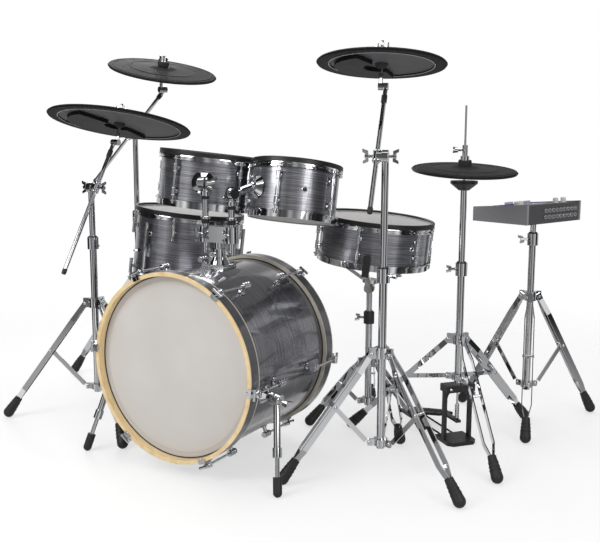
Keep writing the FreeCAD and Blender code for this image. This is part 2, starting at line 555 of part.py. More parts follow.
def tom_holder():
    foot = KIT.multVec(Vector(0, num("tom_post_y"), 0))
    crown = num(BASS_CROWN)
    plate_low = crown - num("tom_plate_drop")
    plate = box("tom_plate", "tom_plate_length", "tom_plate_width", "tom_plate_drop + tom_plate_rise",
                foot + Vector(num("-tom_plate_length / 2"), num("-tom_plate_width / 2"), plate_low))
    saddle = cylinder("tom_saddle", "bass_radius + seat_gap", "tom_plate_width * 2",
                      foot + Vector(0, num("-tom_plate_width"), num(BASS_AXIS)), Vector(0, 1, 0))
    barrel = "tom_post_radius + tom_socket_wall"
    socket = cylinder("tom_socket", barrel, "tom_socket_rise - seat_gap * 5",
                      foot + UP * (crown + num("seat_gap * 5")))
    flare = cone("tom_flare_piece", barrel + " + tom_flare", barrel, "tom_flare_height",
                 foot + UP * (crown + num("tom_plate_rise * 0.86")))
    bore = cylinder("tom_socket_bore", "tom_post_radius + ratchet_gap", "2 * tom_socket_rise + 40",
                    foot + UP * (plate_low - 5))
    solid = fuse("tom_base_solid", [cut("tom_plate_saddle", plate, saddle), socket, flare])
    front = Vector(0, -1, 0)
    screw_at = foot + UP * (crown + num("tom_socket_rise * 0.73")) + front * num(barrel)
    node("tom_base", [cut("tom_base_cut", solid, bore), wing(screw_at, front, 90)])

    low = crown + num("clamp_block_rise")
    post_low = crown - num("tom_post_drop")
    post = cylinder("tom_post_tube", "tom_post_radius", "clamp_block_rise + tom_post_drop + 5",
                    foot + UP * post_low)
    outer = "tom_arm_radius + clamp_block_wall"
    core = box("clamp_core", "2 * tom_arm_spread", "2 * (%s) * 0.9" % outer, "clamp_block_height",
               foot + Vector(num("-tom_arm_spread"), num("-0.9 * (%s)" % outer), low))
    ends = [cylinder("clamp_end_%d" % index, outer, "clamp_block_height",
                     foot + Vector(side * num("tom_arm_spread"), 0, low))
            for index, side in enumerate((-1, 1))]
    bores = [cylinder("clamp_bore_%d" % index, "tom_arm_radius + ratchet_gap", "2 * clamp_block_height",
                      foot + Vector(side * num("tom_arm_spread"), 0, low - num("clamp_block_height / 2")))
             for index, side in enumerate((-1, 1))]
    block = cut("clamp_block", fuse("clamp_block_solid", [post, core] + ends), fuse("clamp_bores", bores))
    middle = UP * (low + num("clamp_block_height / 2"))
    screws = [wing(foot + middle + Vector(side * num("tom_arm_spread"), -num(outer), 0), front, 90)
              for side in (-1, 1)]
    node("tom_post", [block] + screws)

    for name, side in (("tom_left", -1), ("tom_right", 1)):
        centre = KIT.multVec(spot(*DRUM_PLACES[name]))
        arm = foot + Vector(side * num("tom_arm_spread"), 0, centre.z + num("tom_joint_rise"))
        frame = drum_frame(name, centre)
        out = Vector(arm.x - centre.x, arm.y - centre.y, 0).normalize()
        aside = num("ratchet_half + ratchet_gap + ratchet_disc / 2")
        span = math.hypot(arm.x - centre.x, arm.y - centre.y)
        out = Rotation(UP, side * math.degrees(math.asin(aside / span))).multVec(out)
        hinge = Vector(-out.y, out.x, 0) * side
        joint = arm + hinge * aside
        frames[name] = {"pivot": arm, "axis": hinge, "arm": arm}
        stem_low = arm + UP * (crown + num("tom_arm_rise") - arm.z)
        stem = rod(name + "_arm_tube", "tom_arm_radius", stem_low, arm - UP * num("ratchet_radius * 0.9"))
        hub = cylinder(name + "_arm_hub", "ratchet_radius", "2 * ratchet_half",
                       arm - hinge * num("ratchet_half"), hinge)
        screw = wing(arm - hinge * num("ratchet_half"), hinge * -1)
        node(name.replace("tom", "tom_arm"), [fuse(name + "_arm_solid", [stem, hub]), screw])

        # Dome bracket on the shell, joined to the ratchet disc by a short rod
        local = drum_placement(name).inverted().multVec(out)
        azimuth = math.degrees(math.atan2(local.y, local.x))
        dome_place = frame * Placement(Vector(0, 0, num(name + "_depth / 2")), Rotation(UP, azimuth))
        face = num(name + "_radius + seat_gap")
        dome = cone(name + "_dome", "bracket_radius", "bracket_radius * 0.55", "bracket_rise",
                    Vector(face, 0, 0), Vector(1, 0, 0))
        end = dome_place.multVec(Vector(face + num("bracket_rise / 2"), 0, 0))
        disc = cylinder(name + "_disc", "ratchet_radius * 0.87", "ratchet_disc",
                        joint - hinge * num("ratchet_disc / 2"), hinge)
        arm_rod = rod(name + "_l_rod", "l_rod_radius", joint, end)
        small_drum(name, frame, [fuse(name + "_bracket", [copy(dome, dome_place), disc, arm_rod])])


def floor_tom():
    name = "floor_tom"
    frame = drum_frame(name, KIT.multVec(spot(*DRUM_PLACES[name])))
    small_drum(name, frame)
    pieces = []
    reach = num("floor_tom_radius + floor_leg_offset")
    for index in range(3):
        turn = Rotation(UP, num("floor_leg_angle") + 120 * index)
        place = frame * Placement(Vector(), turn)
        middle = place.multVec(Vector(reach, 0, num("floor_tom_depth / 2")))
        axis = place.Rotation.multVec(UP)
        foot = middle - axis * ((middle.z - num("floor_foot_radius")) / axis.z)
        top = middle + axis * num("floor_leg_rise")
        shoe = foot + axis * num("floor_foot_length")
        pieces.append(rod("floor_leg_rod_%d" % index, "floor_leg_radius", shoe, top))
        pieces.append(fuse("floor_foot_%d" % index, [
            sphere("floor_foot_ball_%d" % index, "floor_foot_radius", foot),
            rod("floor_foot_sleeve_%d" % index, "floor_foot_radius", foot, shoe)]))
        corner = Vector(num("floor_tom_radius + seat_gap + floor_block_gap"), num("-floor_block_width / 2"),
                        num("(floor_tom_depth - floor_block_height) / 2"))
        pieces.append(box("floor_leg_block_%d" % index,
                          "floor_leg_offset - floor_leg_radius - floor_block_gap - 2 * seat_gap",
                          "floor_block_width", "floor_block_height", corner, place))
        guard = place.multVec(Vector(num("floor_tom_radius + floor_leg_offset + floor_leg_radius"), 0,
                                     num("floor_tom_depth / 2")))
        pieces.append(wing(guard, place.Rotation.multVec(Vector(1, 0, 0))))
    node("floor_tom_legs", pieces)


# Bass drum spurs: bracket on the shell, tube and inner rod down to a rubber tip

def spurs():
    brackets = []
    for name, side in (("spur_left", -1), ("spur_right", 1)):
        hinge = KIT.multVec(spot("%d * (bass_radius + spur_hinge_reach)" % side, SPUR_Y,
                                 BASS_AXIS + " - spur_hinge_drop"))
        foot = KIT.multVec(spot("%d * (bass_radius + spur_foot_reach)" % side,
                                "-bass_depth / 2 - spur_foot_lead", "spur_foot_radius"))
        axle = KIT.multVec(Vector(0, num(SPUR_Y), num(BASS_AXIS)))
        inward = Vector(axle.x - hinge.x, 0, axle.z - hinge.z).normalize()
        shell_gap = (axle - hinge).Length - num("bass_radius + seat_gap")
        mount = hinge + inward * shell_gap
        plate = cone(name + "_plate", "spur_plate", "spur_plate * 0.5", "spur_plate_rise", mount, inward * -1)
        reach = shell_gap - num("spur_tube_radius + ratchet_half")
        stalk = cylinder(name + "_stalk", "spur_plate * 0.5", reach, mount, inward * -1)
        brackets.append(fuse(name + "_bracket", [plate, stalk]))
        frames[name] = {"pivot": hinge, "axis": inward * -1}
        way = (foot - hinge).normalize()
        middle = hinge + way * (num("spur_tube_share") * (foot - hinge).Length)
        shoe = foot - way * num("spur_foot_length")
        knuckle_start = hinge + inward * (num("spur_tube_radius + ratchet_half") - num("ratchet_gap"))
        knuckle_end = hinge - inward * num("spur_tube_radius * 1.26")
        knuckle = rod(name + "_knuckle", "ratchet_radius", knuckle_start, knuckle_end)
        leg_tube = rod(name + "_tube", "spur_tube_radius", hinge, middle)
        cap_middle = middle - way * num("spur_cap_length * 0.42")
        cap_half = way * num("spur_cap_length / 2")
        cap = rod(name + "_cap_piece", "spur_tube_radius + spur_cap", cap_middle - cap_half,
                  cap_middle + cap_half)
        leg_rod = rod(name + "_rod", "spur_rod_radius", middle, shoe)
        leg = fuse(name + "_leg", [knuckle, leg_tube, cap, leg_rod])
        tip = fuse(name + "_tip", [sphere(name + "_tip_ball", "spur_foot_radius", foot),
                                   rod(name + "_tip_sleeve", "spur_foot_radius", foot, shoe)])
        node(name, [leg, tip, wing(knuckle_end, inward * -1, 90)])
    node("spur_brackets", brackets)


# Tripods: the legs, braces and feet of all six stands are grouped by kind

TRIPODS = {kind: [] for kind in ("stand_base_tubes", "stand_collars", "stand_legs", "stand_braces",
                                 "stand_feet", "stand_clamps")}


def stand_base(prefix):
    x, y = STAND_PLACES[prefix]
    return KIT.multVec(spot(x, y, 0))


def tripod(prefix, ring, tube_bottom, clamp_side):
    base = stand_base(prefix)
    collar, spread = prefix + "_collar", prefix + "_spread"
    top = CLAMP_TOPS[prefix]
    TRIPODS["stand_base_tubes"].append(
        tube(prefix + "_base_tube", "base_tube_radius", "base_tube_wall", tube_bottom, top, base))
    bore = cylinder(prefix + "_bore", "base_tube_radius + seat_clearance", "2 * (%s)" % top, base)
    turns = [turned(num(prefix + "_leg_angle") + 120 * index, base) for index in range(3)]
    for part, height, level in (("collar", "collar_height", collar), ("ring", "ring_height", ring)):
        low = "%s - %s / 2" % (level, height)
        hub = cylinder("%s_%s_hub" % (prefix, part), "base_tube_radius + collar_wall", height,
                       base + UP * num(low))
        half = "ear_half" if part == "collar" else "brace_thick"
        ear = box("%s_%s_ear" % (prefix, part), "base_tube_radius + collar_wall + ear_depth",
                  "2 * (%s)" % half, height, Vector(0, num("-(%s)" % half), num(low)))
        solid = fuse("%s_%s_solid" % (prefix, part), [hub] + [copy(ear, turn) for turn in turns])
        TRIPODS["stand_collars"].append(cut("%s_%s" % (prefix, part), solid, bore))

    # Leg frame: X runs down the leg from the collar ear to the foot, Z is up and across the leg
    hip = Vector(num("base_tube_radius + collar_wall + ear_depth - strap_tail"), 0, num(collar))
    foot = Vector(num(spread), 0, num("foot_radius"))
    way = (foot - hip).normalize()
    length = (foot - hip).Length - num("foot_length")
    leg_frame = Placement(hip, Rotation(Vector(0, 1, 0), math.degrees(math.atan2(-way.z, way.x))))
    kink = length * num("strap_kink")
    pinch = length * num("strap_pinch")
    inner, outer = "strap_spread", "strap_spread + strap_thick"
    strap = padded(prefix + "_strap", "XY_Plane", [
        ("-strap_tail", "ear_half"), ("strap_straight", "ear_half"), (kink, inner), (pinch, inner),
        (length, "pin_radius"), (length, "pin_radius + strap_thick"), (pinch, outer), (kink, outer),
        ("strap_straight", "ear_half + strap_thick"), ("-strap_tail", "ear_half + strap_thick")],
        "strap_width")
    strap.Placement = leg_frame * Placement(Vector(0, 0, num("-strap_width / 2")), Rotation())
    flip = leg_frame * Placement(Vector(), Rotation(Vector(1, 0, 0), 180)) * leg_frame.inverse()
    knee = length * num("brace_share")
    pin = cylinder(prefix + "_knee_pin", "pin_radius", "2 * strap_spread",
                   Vector(knee, num("-strap_spread"), 0), Vector(0, 1, 0))
    pin.Placement = leg_frame * pin.Placement
    for turn in turns:
        TRIPODS["stand_legs"].extend([copy(strap, turn), copy(strap, turn * flip), copy(pin, turn)])

    # Brace from the lower ring to the knee pin
    hook = Vector(num("base_tube_radius + collar_wall + ear_depth"), 0, num(ring))
    knee_at = leg_frame.multVec(Vector(knee, 0, 0))
    run = knee_at - hook
    rise = math.degrees(math.atan2(run.z, run.x))
    inset = num("brace_width / 2") * abs(math.tan(math.radians(rise))) + num("seat_gap")
    brace = box(prefix + "_brace", 1, "brace_thick", "brace_width",
                Vector(inset, num("-brace_thick / 2"), num("-brace_width / 2")),
                Placement(hook, Rotation(Vector(0, 1, 0), -rise)))
    brace.Length = run.Length - num("pin_radius + seat_gap") - inset
    TRIPODS["stand_braces"].extend([copy(brace, turn) for turn in turns])

    boot = fuse(prefix + "_boot", [
        sphere(prefix + "_boot_ball", "foot_radius", foot),
        cone(prefix + "_boot_sleeve", "foot_radius", "foot_top_radius", "foot_length", foot, way * -1)])
    TRIPODS["stand_feet"].extend([copy(boot, turn) for turn in turns])

    # Height clamp round the top of the base tube, with its wing screw
    low = "%s - clamp_height + clamp_throat" % top
    clamp_outer = "base_tube_radius + clamp_wall"
    sleeve = cylinder(prefix + "_clamp_sleeve", clamp_outer, "clamp_height", base + UP * num(low))
    throat = cylinder(prefix + "_clamp_bore", UPPER_TUBE + " + ratchet_gap", "2 * clamp_height",
                      base + UP * num(low))
    hollow = cylinder(prefix + "_clamp_hollow", "base_tube_radius + seat_clearance",
                      "2 * clamp_height - clamp_throat", base + UP * num("%s - clamp_height" % low))
    direction = compass(clamp_side)
    screw_at = base + direction * num(clamp_outer) + UP * num("%s + clamp_height / 2" % low)
    TRIPODS["stand_clamps"].append(
        cut(prefix + "_clamp_ring", sleeve, fuse(prefix + "_clamp_space", [throat, hollow])))
    TRIPODS["stand_clamps"].append(wing(screw_at, direction, 90))


# Boom stand top: upper tube, boom, tilter and cymbal pad

def cymbal_pad(prefix, radius):
    inside = radius + " - pad_lip"
    shoulder = "pad_edge + pad_rise"
    crown = "pad_edge + pad_rise + bell_rise"
    pad = revolved(prefix + "_pad_body", [
        (0, "pad_edge - pad_recess"), (inside, "pad_edge - pad_recess"),
        (inside + " + pad_recess / 2", 0), (radius + " - pad_recess * 0.75", 0), (radius, "pad_edge / 2"),
        (radius + " - pad_recess", "pad_edge"), ("bell_radius", shoulder), ("bell_radius * 0.6", crown),
        (0, crown)])
    ball = sphere(prefix + "_pad_socket", "ball_radius + ball_gap", UP * num("pad_edge"))
    body = cut(prefix + "_pad_cut", pad, ball)
    if prefix == "hat":
        return [body]
    outer = doc.addObject("Part::Cylinder", prefix + "_housing_outer")
    bind(outer, "Radius", "(%s) * housing_share" % radius)
    bind(outer, "Height", "housing_drop")
    bind(outer, "Angle", "housing_angle")
    outer.Placement = turned(num("housing_turn"), UP * num("pad_edge - pad_recess - housing_drop"))
    inner = cylinder(prefix + "_housing_hole", "housing_inner", "3 * housing_drop",
                     UP * num("pad_edge - pad_recess - 2 * housing_drop"))
    return [body, cut(prefix + "_housing", outer, inner)]


def ball_seat(prefix, centre, normal, thread):
    ball = sphere(prefix + "_ball", "ball_radius", centre)
    ball.Placement = Placement(centre, along(normal))
    hole = cylinder(prefix + "_ball_hole", "%s + seat_clearance" % thread, "4 * ball_radius",
                    centre - normal * num("2 * ball_radius"), normal)
    return cut(prefix + "_ball_seat", ball, hole)


def boom_stand(prefix):
    base = stand_base(prefix)
    height = CYMBAL_HEIGHTS[prefix]
    goal = base + spot(prefix + "_reach_x", prefix + "_reach_y", height)
    head_height = "%s - %s_boom_rise" % (height, prefix)
    head = base + UP * num(head_height)
    tilt = math.radians(num(prefix + "_tilt"))
    post = num("tilter_length")
    aside = num("boom_offset + tilter_half + ratchet_gap + tilter_disc / 2")
    flat = Vector(goal.x - base.x, goal.y - base.y, 0)
    side = num(prefix + "_side")
    reach = math.sqrt(flat.Length ** 2 - aside ** 2)
    veer = side * math.asin(aside / flat.Length)
    lean = compass(math.degrees(math.atan2(flat.y, flat.x) + veer))
    hinge = Vector(lean.y, -lean.x, 0) * side
    normal = lean * math.sin(tilt) + UP * math.cos(tilt)
    knee = head + hinge * num("boom_offset") + lean * (reach - post * math.sin(tilt))
    knee.z = goal.z - post * math.cos(tilt)
    centre = head + hinge * num("boom_offset")
    way = (knee - centre).normalize()
    frames[prefix] = {"head": head, "knee": knee, "goal": goal, "hinge": hinge, "normal": normal}

    bottom = "%s_clamp - tube_overlap" % prefix
    stem_length = "%s - (%s) - head_radius + head_sink" % (head_height, bottom)
    stem = cylinder(prefix + "_stem", UPPER_TUBE, stem_length, base + UP * num(bottom))
    hub = cylinder(prefix + "_hub", "head_radius", "2 * head_half", head - hinge * num("head_half"), hinge)
    node(prefix + "_tube", [fuse(prefix + "_tube_solid", [stem, hub]),
                            wing(head - hinge * num("head_half"), hinge * -1)])

    inner = num("head_half + ratchet_gap")
    disc = cylinder(prefix + "_boom_disc", "head_radius * 0.82", "boom_offset - head_half - ratchet_gap",
                    head + hinge * inner, hinge)
    sleeve = cylinder(prefix + "_boom_sleeve", "boom_sleeve", "boom_sleeve_length",
                      centre - way * num("boom_sleeve_length / 2"), way)
    shaft = rod(prefix + "_boom_rod", "boom_radius", centre - way * num(prefix + "_tail"), knee)
    eye = cylinder(prefix + "_boom_eye", "tilter_radius", "2 * tilter_half",
                   knee - hinge * num("tilter_half"), hinge)
    node(prefix + "_boom", [fuse(prefix + "_boom_solid", [disc, sleeve, shaft, eye]),
                            wing(centre + hinge * num("boom_sleeve"), hinge)])

    start = knee + hinge * num("tilter_half + ratchet_gap")
    plate = cylinder(prefix + "_tilter_disc", "tilter_radius", "tilter_disc", start, hinge)
    root = start + hinge * num("tilter_disc / 2")
    neck = cylinder(prefix + "_tilter_neck", "tilter_post", "tilter_length - ball_radius", root, normal)
    thread = cylinder(prefix + "_tilter_rod", "cymbal_rod", "ball_radius + cymbal_rod_rise + cymbal_rod_root",
                      goal - normal * num("ball_radius + cymbal_rod_root"), normal)
    nut_at = goal + normal * num("ball_radius - wing_reach")
    nut = fuse(prefix + "_nut_solid", [
        copy(wing_blade, Placement(nut_at, along(normal))),
        cylinder(prefix + "_nut_hub", "wing_hub", "wing_hub_height", goal + normal * num("ball_radius"),
                 normal)])
    nut_hole = cylinder(prefix + "_nut_hole", "cymbal_rod + seat_clearance", "4 * ball_radius", goal, normal)
    node(prefix + "_tilter", [fuse(prefix + "_tilter_solid", [plate, neck, thread]),
                              ball_seat(prefix, goal, normal, "cymbal_rod"),
                              cut(prefix + "_wing_nut", nut, nut_hole)])
    pad_place = Placement(goal - normal * num("pad_edge"), along(normal))
    node(prefix + "_pad", cymbal_pad(prefix, prefix + "_radius"), pad_place)


# Hi-hat: pedal frame, footboard, pull rod, upper tube with its controller, pad and clutch

def hi_hat():
    base = stand_base("hat")
    forward = compass(num("pedal_azimuth"))
    pedal = Placement(base, Rotation(UP, num("pedal_azimuth")))
    bottom = "hat_clamp - tube_overlap"
    tube_top = "hat_height - hat_tube_drop"
    brim_low = "hat_height - hat_housing_drop - hat_brim"
    stem = cylinder("hat_stem", UPPER_TUBE, "%s - (%s)" % (tube_top, bottom), base + UP * num(bottom))
    cup_low = tube_top + " + seat_gap"
    cup = cone("hat_cup_piece", UPPER_TUBE + " + hat_cup", "hat_housing_radius",
               "%s - (%s)" % (brim_low, cup_low), base + UP * num(cup_low))
    brim = cylinder("hat_brim_piece", "hat_housing_radius", "hat_brim", base + UP * num(brim_low))
    hollow = cylinder("hat_hollow", "pull_rod + pull_rod_clearance", "2 * hat_height", base)
    node("hat_tube", [cut("hat_stem_cut", stem, hollow),
                      cut("hat_housing", fuse("hat_housing_solid", [cup, brim]), copy(hollow, Placement()))])

    rod_length = "hat_height + pull_rod_rise - pull_rod_bottom"
    pull = cylinder("hat_pull_rod", "pull_rod", rod_length, base + UP * num("pull_rod_bottom"))
    lower_pull = cylinder("hat_lower_rod", "pull_rod + pull_rod_step", rod_length + " - pull_rod_end",
                          base + UP * num("pull_rod_bottom"))
    link = box("hat_link", "link_thick", "link_width", "pull_rod_bottom + link_rise - toe_height - link_gap",
               Vector(num("-link_thick / 2"), num("-link_width / 2"), num("toe_height + link_gap")), pedal)
    node("hat_rod", [fuse("hat_rod_solid", [pull, lower_pull, link])])

    goal = base + UP * num("hat_height")
    toward = compass(num("hat_tilt_azimuth"))
    tilt = math.radians(num("hat_tilt"))
    normal = toward * math.sin(tilt) + UP * math.cos(tilt)
    pad_place = Placement(goal - normal * num("pad_edge"), along(normal))
    pad = [copy(piece, pad_place) for piece in cymbal_pad("hat", "hat_radius")]
    seat = ball_seat("hat", goal, UP, "pull_rod + pull_rod_step")
    clutch = cut("hat_clutch", fuse("hat_clutch_solid", [
        cylinder("hat_clutch_body", "clutch_radius", "clutch_height", goal + UP * num("clutch_rise")),
        cylinder("hat_clutch_foot", "clutch_radius + clutch_foot", "clutch_rise - ball_radius + clutch_lap",
                 goal + UP * num("ball_radius"))]), copy(hollow, Placement()))
    screw_side = compass(num("pedal_azimuth") + 60)
    screw_height = num("clutch_rise + clutch_height - clutch_screw_drop")
    screw_at = goal + UP * screw_height + screw_side * num("clutch_radius")
    node("hat_pad", pad + [seat, clutch, wing(screw_at, screw_side, 90)])

    # Black pedal frame: two uprights, the bridge that holds the base tube, base hoop and heel plate
    half, post = num("pedal_half"), num("pedal_upright")
    uprights = [box("hat_upright_%d" % index, "pedal_depth", "pedal_upright",
                    "pedal_top - pedal_bridge - pedal_base",
                    Vector(num("-pedal_depth / 2"), start, num("pedal_base")), pedal)
                for index, start in enumerate((-half, half - post))]
    bridge = box("hat_bridge", "pedal_bridge_length", "2 * pedal_half", "pedal_bridge",
                 Vector(num("-pedal_bridge_length / 2"), -half, num("pedal_top - pedal_bridge")), pedal)
    bridge_bore = cylinder("hat_bridge_bore", "base_tube_radius + seat_clearance", "2 * pedal_top", base)
    nose, cheek_at = "-pedal_base_length / 2", "pedal_corner - pedal_base_length / 2"
    floor_plate = padded("hat_floor_plate", "XY_Plane", [
        (nose, "pedal_corner - pedal_half"), (cheek_at, "-pedal_half"),
        ("pedal_base_length / 2", "-pedal_half"), ("pedal_base_length / 2", "pedal_half"),
        (cheek_at, "pedal_half"), (nose, "pedal_half - pedal_corner")], "pedal_base", pedal)
    heel = num("heel_distance")
    heel_start = num("heel_distance - heel_plate_lead")
    plate = box("hat_heel_plate", "heel_plate_length", "heel_width", "heel_plate",
                Vector(heel_start, num("-heel_width / 2"), 0), pedal)
    rods = []
    gap = num("seat_gap")
    for index, offset in enumerate((-1, 1)):
        across = offset * num("heel_width / 2 - radius_rod_inset")
        level = num("radius_rod + radius_rod_lift")
        start = pedal.multVec(Vector(num("pedal_base_length / 2") + gap, across, level))
        end = pedal.multVec(Vector(heel_start - gap, across, level))
        rods.append(rod("hat_radius_rod_%d" % index, "radius_rod", start, end))
    knuckles = [box("hat_knuckle_%d" % index, "knuckle_length", "knuckle_width",
                    "hinge_height - heel_plate + hinge_radius",
                    Vector(heel - num("knuckle_length / 2"), low, num("heel_plate")), pedal)
                for index, low in enumerate((num("-heel_width / 2"), num("heel_width / 2 - knuckle_width")))]
    axle_end = num("heel_width / 2 - knuckle_width")
    axle = rod("hat_axle", "hinge_pin", pedal.multVec(Vector(heel, -axle_end, num("hinge_height"))),
               pedal.multVec(Vector(heel, axle_end, num("hinge_height"))))
    node("hat_pedal_frame", uprights + [cut("hat_bridge_cut", bridge, bridge_bore), floor_plate, plate, axle]
         + rods + knuckles)
    frames["pedal"] = {"pivot": pedal.multVec(Vector(heel, 0, num("hinge_height"))),
                       "axis": pedal.Rotation.multVec(Vector(0, 1, 0)), "forward": forward}

    # Footboard: tapered plate with a round toe, its hinge barrel and the lever to the pull rod
    rise = num("toe_height - footboard - hinge_height")
    run = num("heel_distance - toe_distance")
    slope = math.degrees(math.atan2(rise, run))
    board_length = math.hypot(rise, run)
    wide_at = num("toe_share")
    board = padded("footboard_plate", "XY_Plane", [
        (0, "knuckle_width + 2 - heel_width / 2"), (board_length * wide_at, "-toe_width / 2"),
        (board_length, "toe_corner - toe_width / 2"), (board_length, "toe_width / 2 - toe_corner"),
        (board_length * wide_at, "toe_width / 2"), (0, "heel_width / 2 - knuckle_width - 2")], "footboard")
    turn = Placement(Vector(heel, 0, num("hinge_height")), Rotation(UP, 180)) * \
        Placement(Vector(), Rotation(Vector(0, 1, 0), -slope))
    board.Placement = pedal * turn
    barrel_low = "knuckle_width + ratchet_gap - heel_width / 2"
    barrel = cylinder("footboard_barrel", "hinge_radius", "-2 * (%s)" % barrel_low,
                      Vector(heel, num(barrel_low), num("hinge_height")), Vector(0, 1, 0))
    barrel.Placement = pedal * barrel.Placement
    lever = box("footboard_lever", "toe_distance - lever_end + lever_lap", "lever_width", "footboard",
                Vector(num("lever_end"), num("-lever_width / 2"), num("toe_height - footboard")), pedal)
    hole_end = num("heel_width")
    pin_hole = rod("footboard_pin_hole", "hinge_pin + hinge_clearance",
                   pedal.multVec(Vector(heel, -hole_end, num("hinge_height"))),
                   pedal.multVec(Vector(heel, hole_end, num("hinge_height"))))
    node("hat_footboard", [cut("footboard_cut", fuse("footboard_solid", [board, barrel, lever]), pin_hole)])


def snare_stand():
    base = stand_base("snare")
    lean = drum_placement("snare")
    hub = base + UP * num("snare_height - snare_hub_drop")
    centre = hub + lean.multVec(UP * num("snare_hub_drop"))
    frame = drum_frame("snare", centre)
    small_drum("snare", frame)
    bottom = CLAMP_TOPS["snare"] + " - 0.86 * tube_overlap"
    toward = compass(num("snare_tilt_azimuth"))
    hinge = Vector(-toward.y, toward.x, 0)
    frames["snare"] = {"pivot": hub, "axis": hinge}
    stem = rod("snare_stem", UPPER_TUBE, base + UP * num(bottom), hub - UP * num("ratchet_radius * 0.87"))
    ratchet = cylinder("snare_ratchet", "ratchet_radius", "2 * ratchet_half",
                       hub - hinge * num("ratchet_half"), hinge)
    node("snare_tube", [fuse("snare_tube_solid", [stem, ratchet])])

    # Basket: hub with two cheeks round the ratchet, three arms and their rubber grips
    basket = Placement(hub, lean)
    across = basket.Rotation.inverted().multVec(hinge)
    spin = math.degrees(math.atan2(across.y, across.x)) - 90
    cheek_frame = basket * Placement(Vector(), Rotation(UP, spin))
    inner = num("ratchet_half + ratchet_gap")
    cheeks = [box("snare_cheek_%d" % index, "1.6 * ratchet_radius", "basket_cheek", "basket_hub_height - 4",
                  Vector(num("-0.8 * ratchet_radius"), low, num("-0.6 * ratchet_radius")), cheek_frame)
              for index, low in enumerate((inner, -inner - num("basket_cheek")))]
    crown_radius = "ratchet_radius + ratchet_half + 2"
    crown_low = num("ratchet_radius + ratchet_gap + 2")
    crown = cylinder("snare_crown", crown_radius, "basket_crown", basket.multVec(UP * crown_low),
                     basket.Rotation.multVec(UP))
    pieces = [fuse("snare_hub", cheeks + [crown])]
    thick, width = num("basket_arm_thick"), num("basket_arm_width")
    ledge_z = num("snare_hub_drop - snare_depth / 2 - hoop_rise - seat_gap")
    rim = num("snare_radius + flange_reach")
    for index in range(3):
        place = basket * turned(num("basket_angle") + 120 * index)
        start = Vector(num(crown_radius + " + seat_clearance"), 0, crown_low + num("basket_crown / 2"))
        end = Vector(rim - 4, 0, ledge_z - thick)
        run = end - start
        rise = math.degrees(math.atan2(run.z, run.x))
        arm_place = place * Placement(start, Rotation(Vector(0, 1, 0), -rise))
        drop = thick / 2 * math.tan(math.radians(rise))
        arm = box("snare_arm_%d" % index, run.Length - drop, "basket_arm_width", "basket_arm_thick",
                  Vector(drop, -width / 2, -thick / 2), arm_place)
        ledge_start = rim - num("basket_ledge * 0.68")
        ledge = box("snare_ledge_%d" % index, "basket_ledge", "basket_arm_width", "basket_arm_thick",
                    Vector(ledge_start, -width / 2, ledge_z - thick), place)
        grip = box("snare_grip_%d" % index, "basket_grip_thick", "basket_grip_width", "basket_grip_length",
                   Vector(ledge_start + num("basket_ledge + seat_gap"), num("-basket_grip_width / 2"),
                          ledge_z - num("basket_grip_drop")), place)
        pieces.extend([fuse("snare_arm_solid_%d" % index, [arm, ledge]), grip])
    node("snare_basket", pieces)


# Sound module: wedge case between two cheeks, on a post

